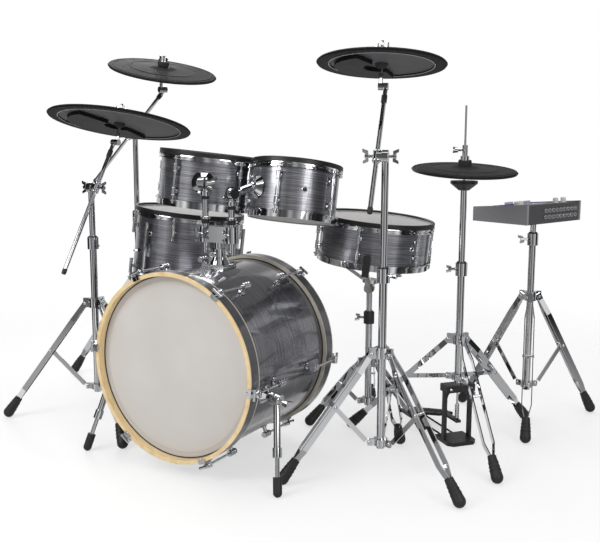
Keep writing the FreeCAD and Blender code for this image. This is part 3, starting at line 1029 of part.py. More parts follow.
def sound_module():
    base = stand_base("module")
    post_bottom = CLAMP_TOPS["module"] + " - tube_overlap"
    post_top = "module_bottom - post_plate_thick"
    stem = cylinder("module_stem", UPPER_TUBE, "%s - (%s)" % (post_top, post_bottom),
                    base + UP * num(post_bottom))
    plate = cylinder("module_plate", "post_plate", "post_plate_thick", base + UP * num(post_top))
    node("module_post", [fuse("module_post_solid", [stem, plate])])

    centre = base + spot("module_shift_x", "module_shift_y", "module_bottom")
    frame = Placement(centre, Rotation(UP, num("module_yaw")))
    half_w, half_d = num("module_width / 2"), num("module_depth / 2")
    slope = math.degrees(math.atan2(num("module_back - module_front"), num("module_depth")))

    def slab(name, rise, thickness, x):
        upright = Placement(Vector(), Rotation(Vector(1, 0, 0), 90))
        turn = turned(90, Vector(x, -half_d, 0)) * upright
        return padded(name, "XY_Plane", [
            (0, 0), ("module_depth", 0), ("module_depth", "module_front + %s" % rise),
            (0, "module_back + %s" % rise)], thickness, turn)

    case = slab("module_body", 0, "module_width - 2 * cheek", -half_w + num("cheek"))
    cheeks = [slab("module_cheek_left", "cheek_rise", "cheek", -half_w),
              slab("module_cheek_right", "cheek_rise", "cheek", half_w - num("cheek"))]
    top = Placement(Vector(0, -half_d, num("module_back")), Rotation(Vector(1, 0, 0), -slope))

    def panel(x_share, y_share):
        return Vector((x_share - 0.5) * num("module_width"), y_share * num("module_depth"), 0)

    screen = box("module_screen", "module_width * screen_width", "module_depth * screen_depth", "screen_rise",
                 panel(0.36, 0.29), top)
    keys = []
    for row in range(2):
        for column in range(8):
            corner = panel(num("key_margin + %d * key_pitch" % column),
                           num("key_line + %d * key_row_pitch" % row))
            keys.append(box("module_key_%d_%d" % (row, column), "key_size", "key_size", "key_height",
                            corner, top))
    faders = []
    for index in range(8):
        corner = panel(num("fader_start + %d * fader_pitch" % index),
                       num("fader_line + %d * fader_step" % (index % 3)))
        faders.append(box("module_fader_%d" % index, "fader_width", "fader_length", "fader_height",
                          corner, top))
    jacks = []
    for index in range(18):
        across = num("module_width * (jack_start + %d * jack_pitch - 0.5)" % (index % 9))
        level = num("module_back / 3 * %d" % (1 + index // 9))
        jacks.append(cylinder("module_jack_%d" % index, "jack_radius", "jack_depth",
                              Vector(across, -half_d, level), Vector(0, -1, 0)))
    node("module_case", [case] + cheeks + [screen] + keys + faders + jacks, frame)
    knobs = (("module_knob_left", "knob", panel(0.645, 0.127)),
             ("module_knob_right", "knob", panel(0.79, 0.127)),
             ("module_dial", "dial", panel(0.138, 0.293)))
    for label, kind, at in knobs:
        cap = revolved(label + "_cap", [
            (0, 0), (kind + "_radius", 0),
            (kind + "_radius - knob_draft", kind + "_height - knob_chamfer"),
            (kind + "_radius - knob_draft - knob_chamfer", kind + "_height"), (0, kind + "_height")])
        place = frame * top * Placement(at + UP * num("ratchet_gap"), Rotation())
        frames[label] = {"pivot": place.Base, "axis": place.Rotation.multVec(UP)}
        node(label, [cap], place)


bass_drum()
tom_holder()
floor_tom()
spurs()
for stand, side in (("ride", 120), ("left_crash", 40), ("right_crash", 0), ("snare", 200), ("module", 210)):
    tripod(stand, stand + "_ring", stand + "_ring - ring_height", side)
tripod("hat", "pedal_top + hat_ring_rise", "pedal_top - pedal_bridge", 200)
for kind, pieces in TRIPODS.items():
    node(kind, pieces)
for stand in ("ride", "left_crash", "right_crash"):
    boom_stand(stand)
hi_hat()
snare_stand()
sound_module()
doc.recompute()

# Every object has to have come out whole before anything is written
for item in doc.Objects:
    if "Invalid" in item.State or "Error" in item.State:
        raise RuntimeError("failed object: " + item.Label)
for item in nodes:
    if item.Shape.isNull() or not item.Shape.isValid() or not item.Shape.Solids:
        raise RuntimeError("bad shape: " + item.Label)
os.makedirs("parts", exist_ok=True)
for item in nodes:
    item.Shape.exportStep(os.path.join("parts", item.Label + ".step"))
whole = Part.makeCompound([item.Shape for item in nodes]).BoundBox
print(len(nodes), "nodes", sum(len(item.Shape.Solids) for item in nodes), "solids")
print("extent", whole)
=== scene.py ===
import json
import math
import bmesh
import bpy
import numpy as np
from mathutils import Matrix, Vector
from numpy.linalg import norm


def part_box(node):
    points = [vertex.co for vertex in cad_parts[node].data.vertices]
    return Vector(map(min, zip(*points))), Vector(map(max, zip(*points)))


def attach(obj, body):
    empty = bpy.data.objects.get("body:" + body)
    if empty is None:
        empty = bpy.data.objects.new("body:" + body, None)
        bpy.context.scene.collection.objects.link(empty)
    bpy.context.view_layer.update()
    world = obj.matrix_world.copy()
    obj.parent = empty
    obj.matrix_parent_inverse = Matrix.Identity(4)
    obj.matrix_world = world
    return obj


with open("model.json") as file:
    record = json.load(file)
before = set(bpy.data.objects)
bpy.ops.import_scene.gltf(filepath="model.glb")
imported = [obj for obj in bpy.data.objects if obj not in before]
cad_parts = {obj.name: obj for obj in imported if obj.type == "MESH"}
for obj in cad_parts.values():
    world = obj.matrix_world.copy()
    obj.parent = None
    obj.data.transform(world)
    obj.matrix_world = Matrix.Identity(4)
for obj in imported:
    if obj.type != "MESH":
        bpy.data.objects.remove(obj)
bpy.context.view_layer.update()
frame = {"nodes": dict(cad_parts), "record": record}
nodes = frame["nodes"]
joints = {joint["name"]: joint for joint in frame["record"]["behaviour"]["joints"]}
up = Vector((0, 0, 1))
print("stage: frame loaded")


# Reading the frame

# The separate solids of one node: triangles with a corner in the same place belong together
def looseParts(name):
    mesh = nodes[name].data
    points = np.empty(len(mesh.vertices) * 3)
    mesh.vertices.foreach_get("co", points)
    points = points.reshape(-1, 3)
    same = np.unique(np.round(points * 1e5).astype(np.int64), axis=0, return_inverse=True)[1].reshape(-1)
    parent = list(range(int(same.max()) + 1))

    def root(index):
        while parent[index] != index:
            parent[index] = parent[parent[index]]
            index = parent[index]
        return index

    for polygon in mesh.polygons:
        ids = [root(int(same[vertex])) for vertex in polygon.vertices]
        for other in ids[1:]:
            parent[root(other)] = ids[0]
    groups = {}
    for polygon in mesh.polygons:
        groups.setdefault(root(int(same[polygon.vertices[0]])), []).append(polygon.index)
    parts = []
    for polygons in groups.values():
        cloud = points[sorted({vertex for index in polygons for vertex in mesh.polygons[index].vertices})]
        low, high = cloud.min(axis=0), cloud.max(axis=0)
        parts.append({"polygons": polygons, "points": cloud, "low": low, "centre": (low + high) / 2, "size": high - low,
                      "reach": float(norm(high - low))})
    return parts


def centreOf(name):
    low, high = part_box(name)
    return (Vector(low) + Vector(high)) / 2


# Materials

def shaderOf(material):
    return material.node_tree.nodes["Principled BSDF"]


def makeMaterial(name, colour, roughness, metallic=0.0, coat=0.0, specular=0.5):
    material = bpy.data.materials.new(name)
    material.use_nodes = True
    finish = {"Base Color": (*colour, 1), "Roughness": roughness, "Metallic": metallic, "Coat Weight": coat,
              "Coat Roughness": 0.04, "Specular IOR Level": specular}
    for key, value in finish.items():
        shaderOf(material).inputs[key].default_value = value
    return material, material.node_tree


# A node whose sockets each get a value, or a link where the value is another node's output
def addNode(tree, kind, sockets, **settings):
    node = tree.nodes.new(kind)
    for key, value in settings.items():
        setattr(node, key, value)
    for key, value in sockets.items():
        if isinstance(value, bpy.types.NodeSocket):
            tree.links.new(value, node.inputs[key])
        else:
            node.inputs[key].default_value = value
    return node


def maths(tree, operation, *values):
    return addNode(tree, "ShaderNodeMath", dict(enumerate(values)), operation=operation).outputs["Value"]


def vectorMaths(tree, operation, *values, result="Vector"):
    return addNode(tree, "ShaderNodeVectorMath", dict(enumerate(values)), operation=operation).outputs[result]


def noise(tree, vector, scale, detail, roughness=0.5):
    sockets = {"Vector": vector, "Scale": scale, "Detail": detail, "Roughness": roughness}
    return addNode(tree, "ShaderNodeTexNoise", sockets).outputs["Fac"]


def mixColour(tree, share, first, second, blend="MIX"):
    sockets = {0: share, 6: first, 7: second}
    return addNode(tree, "ShaderNodeMix", sockets, data_type="RGBA", blend_type=blend).outputs[2]


def mixShader(tree, share, first, second):
    return addNode(tree, "ShaderNodeMixShader", {0: share, 1: first, 2: second}).outputs["Shader"]


def colourRamp(tree, source, stops):
    ramp = addNode(tree, "ShaderNodeValToRGB", {"Fac": source})
    elements = ramp.color_ramp.elements
    while len(elements) < len(stops):
        elements.new(0.5)
    for element, (position, colour) in zip(elements, stops):
        element.position = position
        element.color = (*colour, 1)
    return ramp.outputs["Color"]


def objectSpace(tree):
    return tree.nodes.new("ShaderNodeTexCoord").outputs["Object"]


def setColour(material, colour):
    material.node_tree.links.new(colour, shaderOf(material).inputs["Base Color"])


def addBump(material, height, strength, distance):
    tree = material.node_tree
    bump = addNode(tree, "ShaderNodeBump", {"Height": height, "Strength": strength, "Distance": distance})
    tree.links.new(bump.outputs["Normal"], shaderOf(material).inputs["Normal"])


def roughnessNoise(material, scale, low, high):
    tree = material.node_tree
    sockets = {"Value": noise(tree, objectSpace(tree), scale, 4.0), "To Min": low, "To Max": high}
    span = addNode(tree, "ShaderNodeMapRange", sockets)
    tree.links.new(span.outputs["Result"], shaderOf(material).inputs["Roughness"])


# Place from a centre, height along an axis, and distance from that axis
def aroundAxis(tree, centre, axis):
    shift = vectorMaths(tree, "SUBTRACT", objectSpace(tree), centre)
    height = vectorMaths(tree, "DOT_PRODUCT", shift, axis, result="Value")
    across = vectorMaths(tree, "CROSS_PRODUCT", shift, axis)
    return shift, height, vectorMaths(tree, "LENGTH", across, result="Value")


def chromeMaterial(name, tint=(0.62, 0.625, 0.64), low=0.02, high=0.05):
    material, _ = makeMaterial(name, tint, low, metallic=1.0)
    roughnessNoise(material, 60.0, low, high)
    return material


# Streaked wrap under a clear coat: noise squeezed along the drum's axis, so its streaks run round the shell
def wrapMaterial(name, centre, axis, depth=1.0, roughness=0.3, coat=0.8):
    material, tree = makeMaterial(name, (0.08, 0.08, 0.09), roughness, metallic=0.85, coat=coat)
    shift, height, _ = aroundAxis(tree, centre, axis)
    along = vectorMaths(tree, "MULTIPLY", axis, maths(tree, "MULTIPLY", height, 100.0))
    streak = noise(tree, vectorMaths(tree, "MULTIPLY_ADD", shift, (1.3, 1.3, 1.3), along), 6.0, 7.0, 0.68)
    shades = [(0.32, 0.08), (0.46, 0.2), (0.58, 0.35), (0.72, 0.6)]
    tints = [(place, (shade * depth, shade * depth, shade * depth * 1.1)) for place, shade in shades]
    setColour(material, colourRamp(tree, streak, tints))
    addBump(material, streak, 0.05, 0.0003)
    return material


# Wood hoop: maple front face, pale ply edges, streaked wrap on the outer band
def hoopMaterial(name, centre, axis, sizes):
    material, tree = makeMaterial(name, (0.7, 0.58, 0.4), 0.3, coat=0.6)
    shift, height, radius = aroundAxis(tree, centre, axis)
    grain = noise(tree, vectorMaths(tree, "MULTIPLY", shift, (1.0, 6.0, 1.0)), 34.0, 6.0)
    maple = colourRamp(tree, grain, [(0.3, (0.66, 0.47, 0.23)), (0.52, (0.77, 0.58, 0.31)), (0.75, (0.82, 0.65, 0.39))])
    ply = colourRamp(tree, grain, [(0.3, (0.4, 0.37, 0.31)), (0.7, (0.54, 0.51, 0.44))])
    wood = mixColour(tree, maths(tree, "GREATER_THAN", height, sizes["face"] - sizes["front"]), ply, maple)
    depth = maths(tree, "ABSOLUTE", height)
    inner = maths(tree, "GREATER_THAN", depth, sizes["face"] - sizes["width"] + sizes["edge"])
    outer = maths(tree, "LESS_THAN", depth, sizes["face"] - sizes["edge"])
    outside = maths(tree, "GREATER_THAN", radius, sizes["radius"] - sizes["skin"])
    band = maths(tree, "MULTIPLY", maths(tree, "MULTIPLY", inner, outer), outside)
    lines = addNode(tree, "ShaderNodeTexNoise", {"W": height, "Scale": 420.0, "Detail": 4.0}, noise_dimensions="1D")
    dark = colourRamp(tree, lines.outputs["Fac"], [(0.35, (0.014, 0.014, 0.016)), (0.65, (0.1, 0.1, 0.112))])
    setColour(material, mixColour(tree, band, wood, dark))
    addBump(material, grain, 0.06, 0.0004)
    return material


# Woven head: small cells, light in the middle and darker where the threads cross
def meshHeadMaterial(name):
    material, tree = makeMaterial(name, (0.6, 0.59, 0.58), 0.6)
    weave = addNode(tree, "ShaderNodeTexVoronoi", {"Vector": objectSpace(tree), "Scale": 620.0}).outputs["Distance"]
    setColour(material, colourRamp(tree, weave, [(0.1, (0.54, 0.53, 0.525)), (0.75, (0.39, 0.38, 0.375))]))
    addBump(material, weave, 0.25, 0.0004)
    return material


# Coated film head: soft mottle, fine grain, and a darker ring near the hoop, painted shade for the groove at the head's
# collar
def filmHeadMaterial(name, centre, axis, radius):
    material, tree = makeMaterial(name, (0.6, 0.58, 0.57), 0.38, specular=0.4)
    shift, _, reach = aroundAxis(tree, centre, axis)
    mottle = noise(tree, shift, 5.0, 4.0)
    film = colourRamp(tree, mottle, [(0.3, (0.535, 0.51, 0.485)), (0.7, (0.588, 0.563, 0.538))])
    # Darker ring just inside the hoop: painted shade standing in for the groove at the collar.
    shades = [(0.925, (1.0, 1.0, 1.0)), (0.945, (0.86, 0.86, 0.86)), (0.965, (0.97, 0.97, 0.97))]
    collar = colourRamp(tree, maths(tree, "DIVIDE", reach, radius), shades)
    setColour(material, mixColour(tree, 1.0, film, collar, "MULTIPLY"))
    addBump(material, noise(tree, shift, 900.0, 2.0), 0.12, 0.0003)
    return material


# Rubber cymbal pad: fine turned grooves, a paler playing zone and a darker edge
def padMaterial(name, centre, axis, radius):
    material, tree = makeMaterial(name, (0.014, 0.014, 0.015), 0.6, specular=0.12)
    reach = aroundAxis(tree, centre, axis)[2]
    zones = [(0.26, 0.013), (0.27, 0.021), (0.6, 0.02), (0.61, 0.012), (0.9, 0.014), (0.91, 0.008)]
    tints = [(place, (shade, shade, shade + 0.001)) for place, shade in zones]
    setColour(material, colourRamp(tree, maths(tree, "DIVIDE", reach, radius), tints))
    addBump(material, maths(tree, "SINE", maths(tree, "MULTIPLY", reach, 2 * math.pi / 0.0026)), 0.3, 0.0003)
    return material


# Grain as bump (scale, strength, distance) and uneven gloss (scale, least and most share of roughness)
def grained(name, colour, roughness, grain, wear, specular=0.5):
    material, tree = makeMaterial(name, colour, roughness, specular=specular)
    addBump(material, noise(tree, objectSpace(tree), grain[0], 3.0), *grain[1:])
    roughnessNoise(material, wear[0], roughness * wear[1], roughness * wear[2])
    return material


def rubberMaterial(name, colour=(0.018, 0.018, 0.018), roughness=0.5):
    return grained(name, colour, roughness, (700.0, 0.25, 0.0004), (30.0, 0.85, 1.2), 0.4)


def plastic(name, colour, roughness=0.4, specular=0.5):
    return grained(name, colour, roughness, (1500.0, 0.15, 0.0002), (25.0, 0.85, 1.15), specular)


chrome = chromeMaterial("chromePlate")
rubber = rubberMaterial("blackRubber")
rimRubber = rubberMaterial("rimRubber", (0.014, 0.014, 0.015), 0.4)
feltBlack = rubberMaterial("feltBlack", (0.03, 0.03, 0.03), 0.9)
blackPaint = grained("blackPaint", (0.016, 0.016, 0.017), 0.35, (260.0, 0.06, 0.0004), (40.0, 0.8, 1.25))
blackPlastic = plastic("blackPlastic", (0.02, 0.02, 0.021))
housingPlastic = plastic("housingPlastic", (0.01, 0.01, 0.011), 0.5, 0.15)
underPlastic = plastic("underPlastic", (0.085, 0.085, 0.09), 0.55, 0.2)
seamPlastic = plastic("seamPlastic", (0.36, 0.36, 0.37), 0.4)
foam = rubberMaterial("foam", (0.05, 0.05, 0.05), 0.95)
meshHead = meshHeadMaterial("meshHead")
casePlastic = plastic("casePlastic", (0.05, 0.05, 0.054), 0.42)
panelPlastic = plastic("panelPlastic", (0.022, 0.023, 0.03), 0.35)
cheekPlastic = plastic("cheekPlastic", (0.23, 0.23, 0.24), 0.38)
knobPlastic = plastic("knobPlastic", (0.66, 0.66, 0.68), 0.35)
bluePlastic = plastic("bluePlastic", (0.05, 0.05, 0.42), 0.3)
linePlastic = plastic("linePlastic", (0.72, 0.72, 0.72), 0.35)
greyPlastic = plastic("greyPlastic", (0.55, 0.55, 0.57), 0.4)
screenGlass, _ = makeMaterial("screenGlass", (0.012, 0.016, 0.05), 0.08, coat=1.0)
roughnessNoise(screenGlass, 20.0, 0.05, 0.12)
jackMetal = chromeMaterial("jackMetal", (0.55, 0.55, 0.56), 0.2, 0.4)
print("stage: materials made")


# Sizes that the details share with the frame, in metres and degrees

def sizeTable(keys, rows):
    return {name: dict(zip(keys.split(), row)) for name, row in rows.items()}


drumSizes = sizeTable("radius depth tilt toward lugs lugAngle lugLength vent body", {
    "tom_left": (0.1524, 0.152, 6.4, 44, 5, -21, 0.026, (-68.7, 0.0), "tom_left"),
    "tom_right": (0.127, 0.154, 11, 88, 5, -8.5, 0.026, (-46.9, 0.002), "tom_right"),
    "floor_tom": (0.178, 0.248, 6.3, 33, 6, -68, 0.052, (-97.1, 0.055), "kit"),
    "snare": (0.1756, 0.132, 5.5, 12, 6, -20, 0.026, (-24.4, 0.004), "snare"),
})
standSizes = sizeTable("place spread angle ring collar top", {
    "ride": ((-0.4388, -0.3354), 0.304, 86.5, 0.114, 0.392, 0.597),
    "left_crash": ((-0.6198, 0.0896), 0.304, 68, 0.114, 0.4, 0.64),
    "right_crash": ((0.5712, -0.3074), 0.273, 102.5, 0.102, 0.352, 0.573),
    "hat": ((0.6492, 0.0726), 0.337, 69.5, 0.205, 0.322, 0.546),
    "snare": ((0.3172, 0.1316), 0.207, 112.5, 0.064, 0.194, 0.352),
    "module": ((0.7672, 0.4006), 0.247, 46.5, 0.118, 0.414, 0.61),
})
bassSizes = {
    "place": (0.0702, -0.3714, 0.301), "radius": 0.254, "face": 0.2204, "claws": 6, "clawAngle": -6,
    "rodReach": 0.2795, "lugPlace": 0.09,
}
padSizes = {"ride": 0.2285, "left_crash": 0.178, "right_crash": 0.178, "hat": 0.155}
padSeat = {"drop": 0.008, "undersideIn": 0.0335, "hatPlace": (0.6492, 0.0726, 0.832), "hatLean": (6, -47)}
moduleSizes = {
    "place": (0.7462, 0.3966, 0.66), "yaw": 71, "width": 0.29, "depth": 0.205, "front": 0.042, "back": 0.06,
    "cheek": 0.009,
}


# Axes: each basis holds three unit directions as its columns

def unit(vector):
    return np.array(vector, float) / norm(vector)


def leanBasis(tilt, toward):
    angle = math.radians(toward)
    return np.array(Matrix.Rotation(math.radians(tilt), 3, Vector((-math.sin(angle), math.cos(angle), 0))))


def turnBasis(degrees):
    return np.array(Matrix.Rotation(math.radians(degrees), 3, "Z"))


def axisBasis(axis, nearX=(1.0, 0.0, 0.0)):
    z, x = unit(axis), np.array(nearX, float)
    if abs(x @ z) > 0.95:
        x = np.array((0.0, 1.0, 0.0))
    x = unit(x - z * (x @ z))
    return np.stack([x, np.cross(z, x), z], axis=1)


# The basis turned about its own Z to evenly spaced angles
def turnsOf(basis, first, count):
    return [basis @ turnBasis(first + 360 / count * step) for step in range(count)]


bassBasis = np.array(((1.0, 0, 0), (0, 0, -1.0), (0, 1.0, 0)))
caseBasis, casePlace = turnBasis(moduleSizes["yaw"]), np.array(moduleSizes["place"])
caseWidth, caseDepth = moduleSizes["width"], moduleSizes["depth"]
drumBases = {name: leanBasis(size["tilt"], size["toward"]) for name, size in drumSizes.items()}
drumCentres = {name: np.array(centreOf(name + "_shell")) for name in drumSizes}


# Materials on the nodes of the frame

def dress(name, chooser):
    mesh = nodes[name].data
    mesh.materials.clear()
    order = []
    for part in looseParts(name):
        material = chooser(part)
        if material not in order:
            order.append(material)
            mesh.materials.append(material)
        for index in part["polygons"]:
            mesh.polygons[index].material_index = order.index(material)


def plain(name, material):
    dress(name, lambda part: material)


# Faces picked by their middle and direction, for pieces that touch or share one solid
def recolour(name, material, chooser):
    mesh = nodes[name].data
    mesh.materials.append(material)
    middles, normals = np.empty((2, len(mesh.polygons) * 3))
    mesh.polygons.foreach_get("center", middles)
    mesh.polygons.foreach_get("normal", normals)
    for index in np.nonzero(chooser(middles.reshape(-1, 3), normals.reshape(-1, 3)))[0]:
        mesh.polygons[int(index)].material_index = len(mesh.materials) - 1


# Measures that tell the solids of one node apart: a size and how far off it may be, or a bound
marks = {
    "tip": 0.01, "felt": (0.038, 0.004), "grip": (0.064, 0.006), "gripReach": 0.09, "housing": 0.05, "clamp": 0.004,
    "case": 0.2, "cheek": 0.15, "screen": 0.05, "key": 0.0125, "jackOut": 0.001,
}


def near(value, mark):
    return abs(value - mark[0]) < mark[1]


# Of the solids in a drum's heads node the largest is the rim, the next two heads, the rest foam
def headChoice(reaches):
    return lambda part: (rimRubber if part["reach"] >= reaches[0] - 1e-6 else
                         meshHead if part["reach"] >= reaches[2] - 1e-6 else foam)


def padChoice(pad, largest, rest):
    return lambda part: pad if part["reach"] > 0.95 * largest else rest(part)


def hatRest(part):
    return feltBlack if near(part["size"][2], marks["felt"]) else chrome


def tilterChoice(part):
    return feltBlack if near(part["size"][0], marks["felt"]) and near(part["size"][2], marks["felt"]) else chrome


def onUnderside(origin, axis, radius):
    def chooser(middles, normals):
        away = middles - origin
        reach = norm(np.cross(away, axis), axis=1)
        return (normals @ axis < -0.95) & (away @ axis > 0.003) & (reach < radius)
    return chooser


def basketChoice(part):
    return rubber if part["reach"] < marks["gripReach"] and near(part["size"][2], marks["grip"]) else chrome


def clampChoice(part):
    x, y = part["centre"][:2] - standSizes["snare"]["place"]
    return blackPlastic if math.hypot(x, y) < marks["clamp"] else chrome


def moduleChoice(part):
    local = (part["points"] - casePlace) @ caseBasis
    size = local.max(axis=0) - local.min(axis=0)
    if size[0] > marks["case"]:
        return casePlastic
    if size[1] > marks["cheek"]:
        return cheekPlastic
    if size[0] > marks["screen"]:
        return screenGlass
    if local[:, 1].min() < -caseDepth / 2 - marks["jackOut"]:
        return jackMetal
    return bluePlastic if size[0] > marks["key"] else greyPlastic


def onCheek(middles, normals):
    across = (middles - casePlace) @ caseBasis[:, 0]
    return np.abs(across) > caseWidth / 2 - moduleSizes["cheek"] + 0.0002


for name in nodes:
    plain(name, chrome)

bassCentre, bassAxis = centreOf("bass_shell"), Vector((0, -1, 0))
hoopSizes = {"radius": 0.266, "face": bassSizes["face"], "width": 0.042, "edge": 0.004, "front": 0.03, "skin": 0.0008}
# The bass shell gets the same wrap made darker (0.78): painted shade for the darker reflections on its shell.
plain("bass_shell", wrapMaterial("bassWrap", bassCentre, bassAxis, 0.78, 0.2, 0.9))
plain("bass_hoops", hoopMaterial("bassHoop", bassCentre, bassAxis, hoopSizes))
plain("bass_heads", filmHeadMaterial("filmHead", bassCentre, bassAxis, bassSizes["radius"]))
plain("bass_trigger", foam)
for drum in drumSizes:
    plain(drum + "_shell", wrapMaterial(drum + "Wrap", Vector(drumCentres[drum]), Vector(drumBases[drum][:, 2])))
    reaches = sorted((part["reach"] for part in looseParts(drum + "_heads")), reverse=True)
    dress(drum + "_heads", headChoice(reaches))
for name in ("floor_tom_legs", "spur_left", "spur_right"):
    dress(name, lambda part: rubber if part["low"][2] < marks["tip"] else chrome)
plain("stand_feet", rubber)

# Each pad's lower middle and axis; a boom stand's pad is flattest along its axis
padFrames = {}
for stand in ("ride", "left_crash", "right_crash"):
    cloud = max(looseParts(stand + "_pad"), key=lambda part: part["reach"])["points"]
    axis = Vector(np.linalg.svd(cloud - cloud.mean(axis=0), full_matrices=False)[2][2])
    axis = axis if axis.z > 0 else -axis
    padFrames[stand] = (np.array(joints[stand + "_pad_rock"]["pos_m"]) - padSeat["drop"] * np.array(axis), axis)
hatAxis = Vector(leanBasis(*padSeat["hatLean"])[:, 2])
padFrames["hat"] = (np.array(padSeat["hatPlace"]) - padSeat["drop"] * np.array(hatAxis), hatAxis)

padRubber = {}
for stand, (origin, axis) in padFrames.items():
    pad, radius = stand + "_pad", padSizes[stand]
    padRubber[stand] = padMaterial(stand + "Rubber", Vector(origin), axis, radius)
    largest = max(part["reach"] for part in looseParts(pad))
    dress(pad, padChoice(padRubber[stand], largest, hatRest if stand == "hat" else lambda part: housingPlastic))
    recolour(pad, underPlastic, onUnderside(origin, np.array(axis), radius - padSeat["undersideIn"]))
    if stand != "hat":
        dress(stand + "_tilter", tilterChoice)
plain("hat_pedal_frame", blackPaint)
plain("hat_footboard", blackPaint)
dress("hat_tube", lambda part: blackPlastic if part["size"][0] > marks["housing"] else chrome)
dress("snare_basket", basketChoice)
dress("stand_clamps", clampChoice)
dress("module_case", moduleChoice)
recolour("module_case", cheekPlastic, onCheek)
for knob in ("module_knob_left", "module_knob_right", "module_dial"):
    plain(knob, knobPlastic)
print("stage: frame dressed")


# Surfaces for the details, worked out on whole grids

def fullTurn(steps):
    return np.linspace(0, 2 * np.pi, steps, endpoint=False)


# A profile of (radius, height) pairs turned about Z: x = radius cos a, y = radius sin a, z = height
def turned(profile, around):
    angle = fullTurn(around)
    radius, height = np.array(profile, float).T
    return np.stack([np.outer(radius, np.cos(angle)), np.outer(radius, np.sin(angle)),
                     np.outer(height, np.ones(around))], axis=-1)


# The outline |2x|^n + |2y|^n = 1, one unit wide and one unit deep
def roundedOutline(power, around):
    circle = np.stack([np.cos(fullTurn(around)), np.sin(fullTurn(around))])
    return np.sign(circle) * np.abs(circle) ** (2 / power) / 2


# A rounded block: that outline at the block's width and depth, carried up Z and drawn in at both ends
def block(size, power, around, draw):
    x, y = roundedOutline(power, around)
    half, inset = size[2] / 2, draw * min(size)
    level = np.outer((-half, inset - half, half - inset, half), np.ones(around))
    drawn = np.array((2 * inset, 0, 0, 2 * inset))
    return np.stack([np.outer(size[0] - drawn, x), np.outer(size[1] - drawn, y), level], axis=-1)


# A tube round a path in one plane: each ring is the path point + radius (side cos a + across sin a)
def pathGrid(path, across, radius, around=12):
    ahead = np.gradient(path, axis=0)
    side = np.cross(ahead / norm(ahead, axis=1, keepdims=True), across)
    angle = fullTurn(around)[None, :, None]
    return path[:, None, :] + radius * (side[:, None, :] * np.cos(angle) + np.array(across, float) * np.sin(angle))


# A frame round a window: the same outline at an outer and an inner size, joined into one closed band
def bezelGrid(outer, inner, low, high, power=10.0, around=48):
    x, y = roundedOutline(power, around)
    rows = [(outer, low), (outer, high * 0.8), (inner, high), (inner, low)]
    return np.stack([np.stack([size[0] * x, size[1] * y, np.full(around, level)], axis=-1) for size, level in rows])


def addObject(name, data):
    thing = bpy.data.objects.new(name, data)
    bpy.context.scene.collection.objects.link(thing)
    return thing


def newShape():
    return {"points": [], "faces": [], "count": 0}


# The same grid set at many places; a closed one joins its last row to its first, the others get end faces
def addCopies(shape, grid, places, bases, closed=False):
    places = np.asarray(places, float).reshape(-1, 3)
    bases = np.broadcast_to(np.asarray(bases, float), (len(places), 3, 3))
    points = np.einsum("rcj,nij->nrci", grid, bases) + places[:, None, None, :]
    index = shape["count"] + np.arange(points[..., 0].size).reshape(points.shape[:3])
    ahead = np.roll(index, -1, axis=2)
    if closed:
        rows = (index, ahead, np.roll(ahead, -1, axis=1), np.roll(index, -1, axis=1))
    else:
        rows = (index[:, :-1], ahead[:, :-1], ahead[:, 1:], index[:, 1:])
        shape["faces"] += index[:, 0, ::-1].tolist() + index[:, -1].tolist()
    shape["faces"] += np.stack(rows, axis=-1).reshape(-1, 4).tolist()
    shape["points"].append(points.reshape(-1, 3))
    shape["count"] += points[..., 0].size


def addRings(shape, grid, places, bases):
    addCopies(shape, grid, places, bases, closed=True)


def finishShape(name, shape, material, body, sharp=38):
    mesh = bpy.data.meshes.new(name)
    mesh.from_pydata(np.concatenate(shape["points"]).tolist(), [], shape["faces"])
    work = bmesh.new()
    work.from_mesh(mesh)
    bmesh.ops.recalc_face_normals(work, faces=work.faces)
    work.to_mesh(mesh)
    work.free()
    mesh.shade_smooth()
    mesh.set_sharp_from_angle(angle=math.radians(sharp))
    mesh.materials.append(material)
    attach(addObject(name, mesh), body)


# One piece made of one grid at its places
def addPiece(name, material, body, grid, places, bases, closed=False, sharp=38):
    shape = newShape()
    addCopies(shape, grid, places, bases, closed)
    finishShape(name, shape, material, body, sharp)


# A half-round bead turned about Z: reach = radius + rise sin a, z = -width / 2 cos a
def beadGrid(radius, rise, width, around=24):
    half = np.linspace(0, np.pi, 6)
    profile = np.stack([radius - 0.0002 + (rise + 0.0002) * np.sin(half), -width / 2 * np.cos(half)], axis=1)
    return turned(profile, around)


# A ring of oval section turned about Z: radius = reach + half width cos a, z = level + half height sin a
def ringGrid(reach, level, half, sides, around):
    angle = fullTurn(sides)
    return turned(np.stack([reach + half[0] * np.cos(angle), level + half[1] * np.sin(angle)], axis=1), around)


# Small drums: lug rosettes, gaskets and beads, rod washers, rolled hoop edges and an air vent, with a black disc in the
# vent's hole as painted shade for the unlit inside of the shell

lug = {
    "offset": 0.012, "inset": 0.028, "seat": 0.0002, "bead": (0.0055, 0.0011, 0.0034), "beadInset": 0.0026,
    "earTop": 0.013,
}
roll = {"levels": (-0.0084, -0.0046, -0.0026), "reaches": (0.0043, 0.0082, 0.009), "round": 0.0006}
rosetteGrid = turned([(0.00505, 0.0009), (0.0076, 0.0009), (0.0073, 0.0021), (0.006, 0.003), (0.00505, 0.0033)], 24)
gasketGrid = turned([(0.00505, 0), (0.0086, 0), (0.0086, 0.0009), (0.00505, 0.0009)], 24)
washerGrid = turned([(0.00505, 0), (0.0072, 0), (0.0074, 0.0007), (0.007, 0.0014), (0.00505, 0.0014)], 24)
lowWasherGrid = turned([(0.00405, -0.0014), (0.0068, -0.0014), (0.007, -0.0007), (0.0068, 0), (0.00405, 0)], 24)
ventGrid = turned([(0.0042, -0.0004), (0.0085, -0.0004), (0.0085, 0.0008), (0.0072, 0.0024), (0.0058, 0.003),
                   (0.0048, 0.0024), (0.0042, 0.0004)], 28)
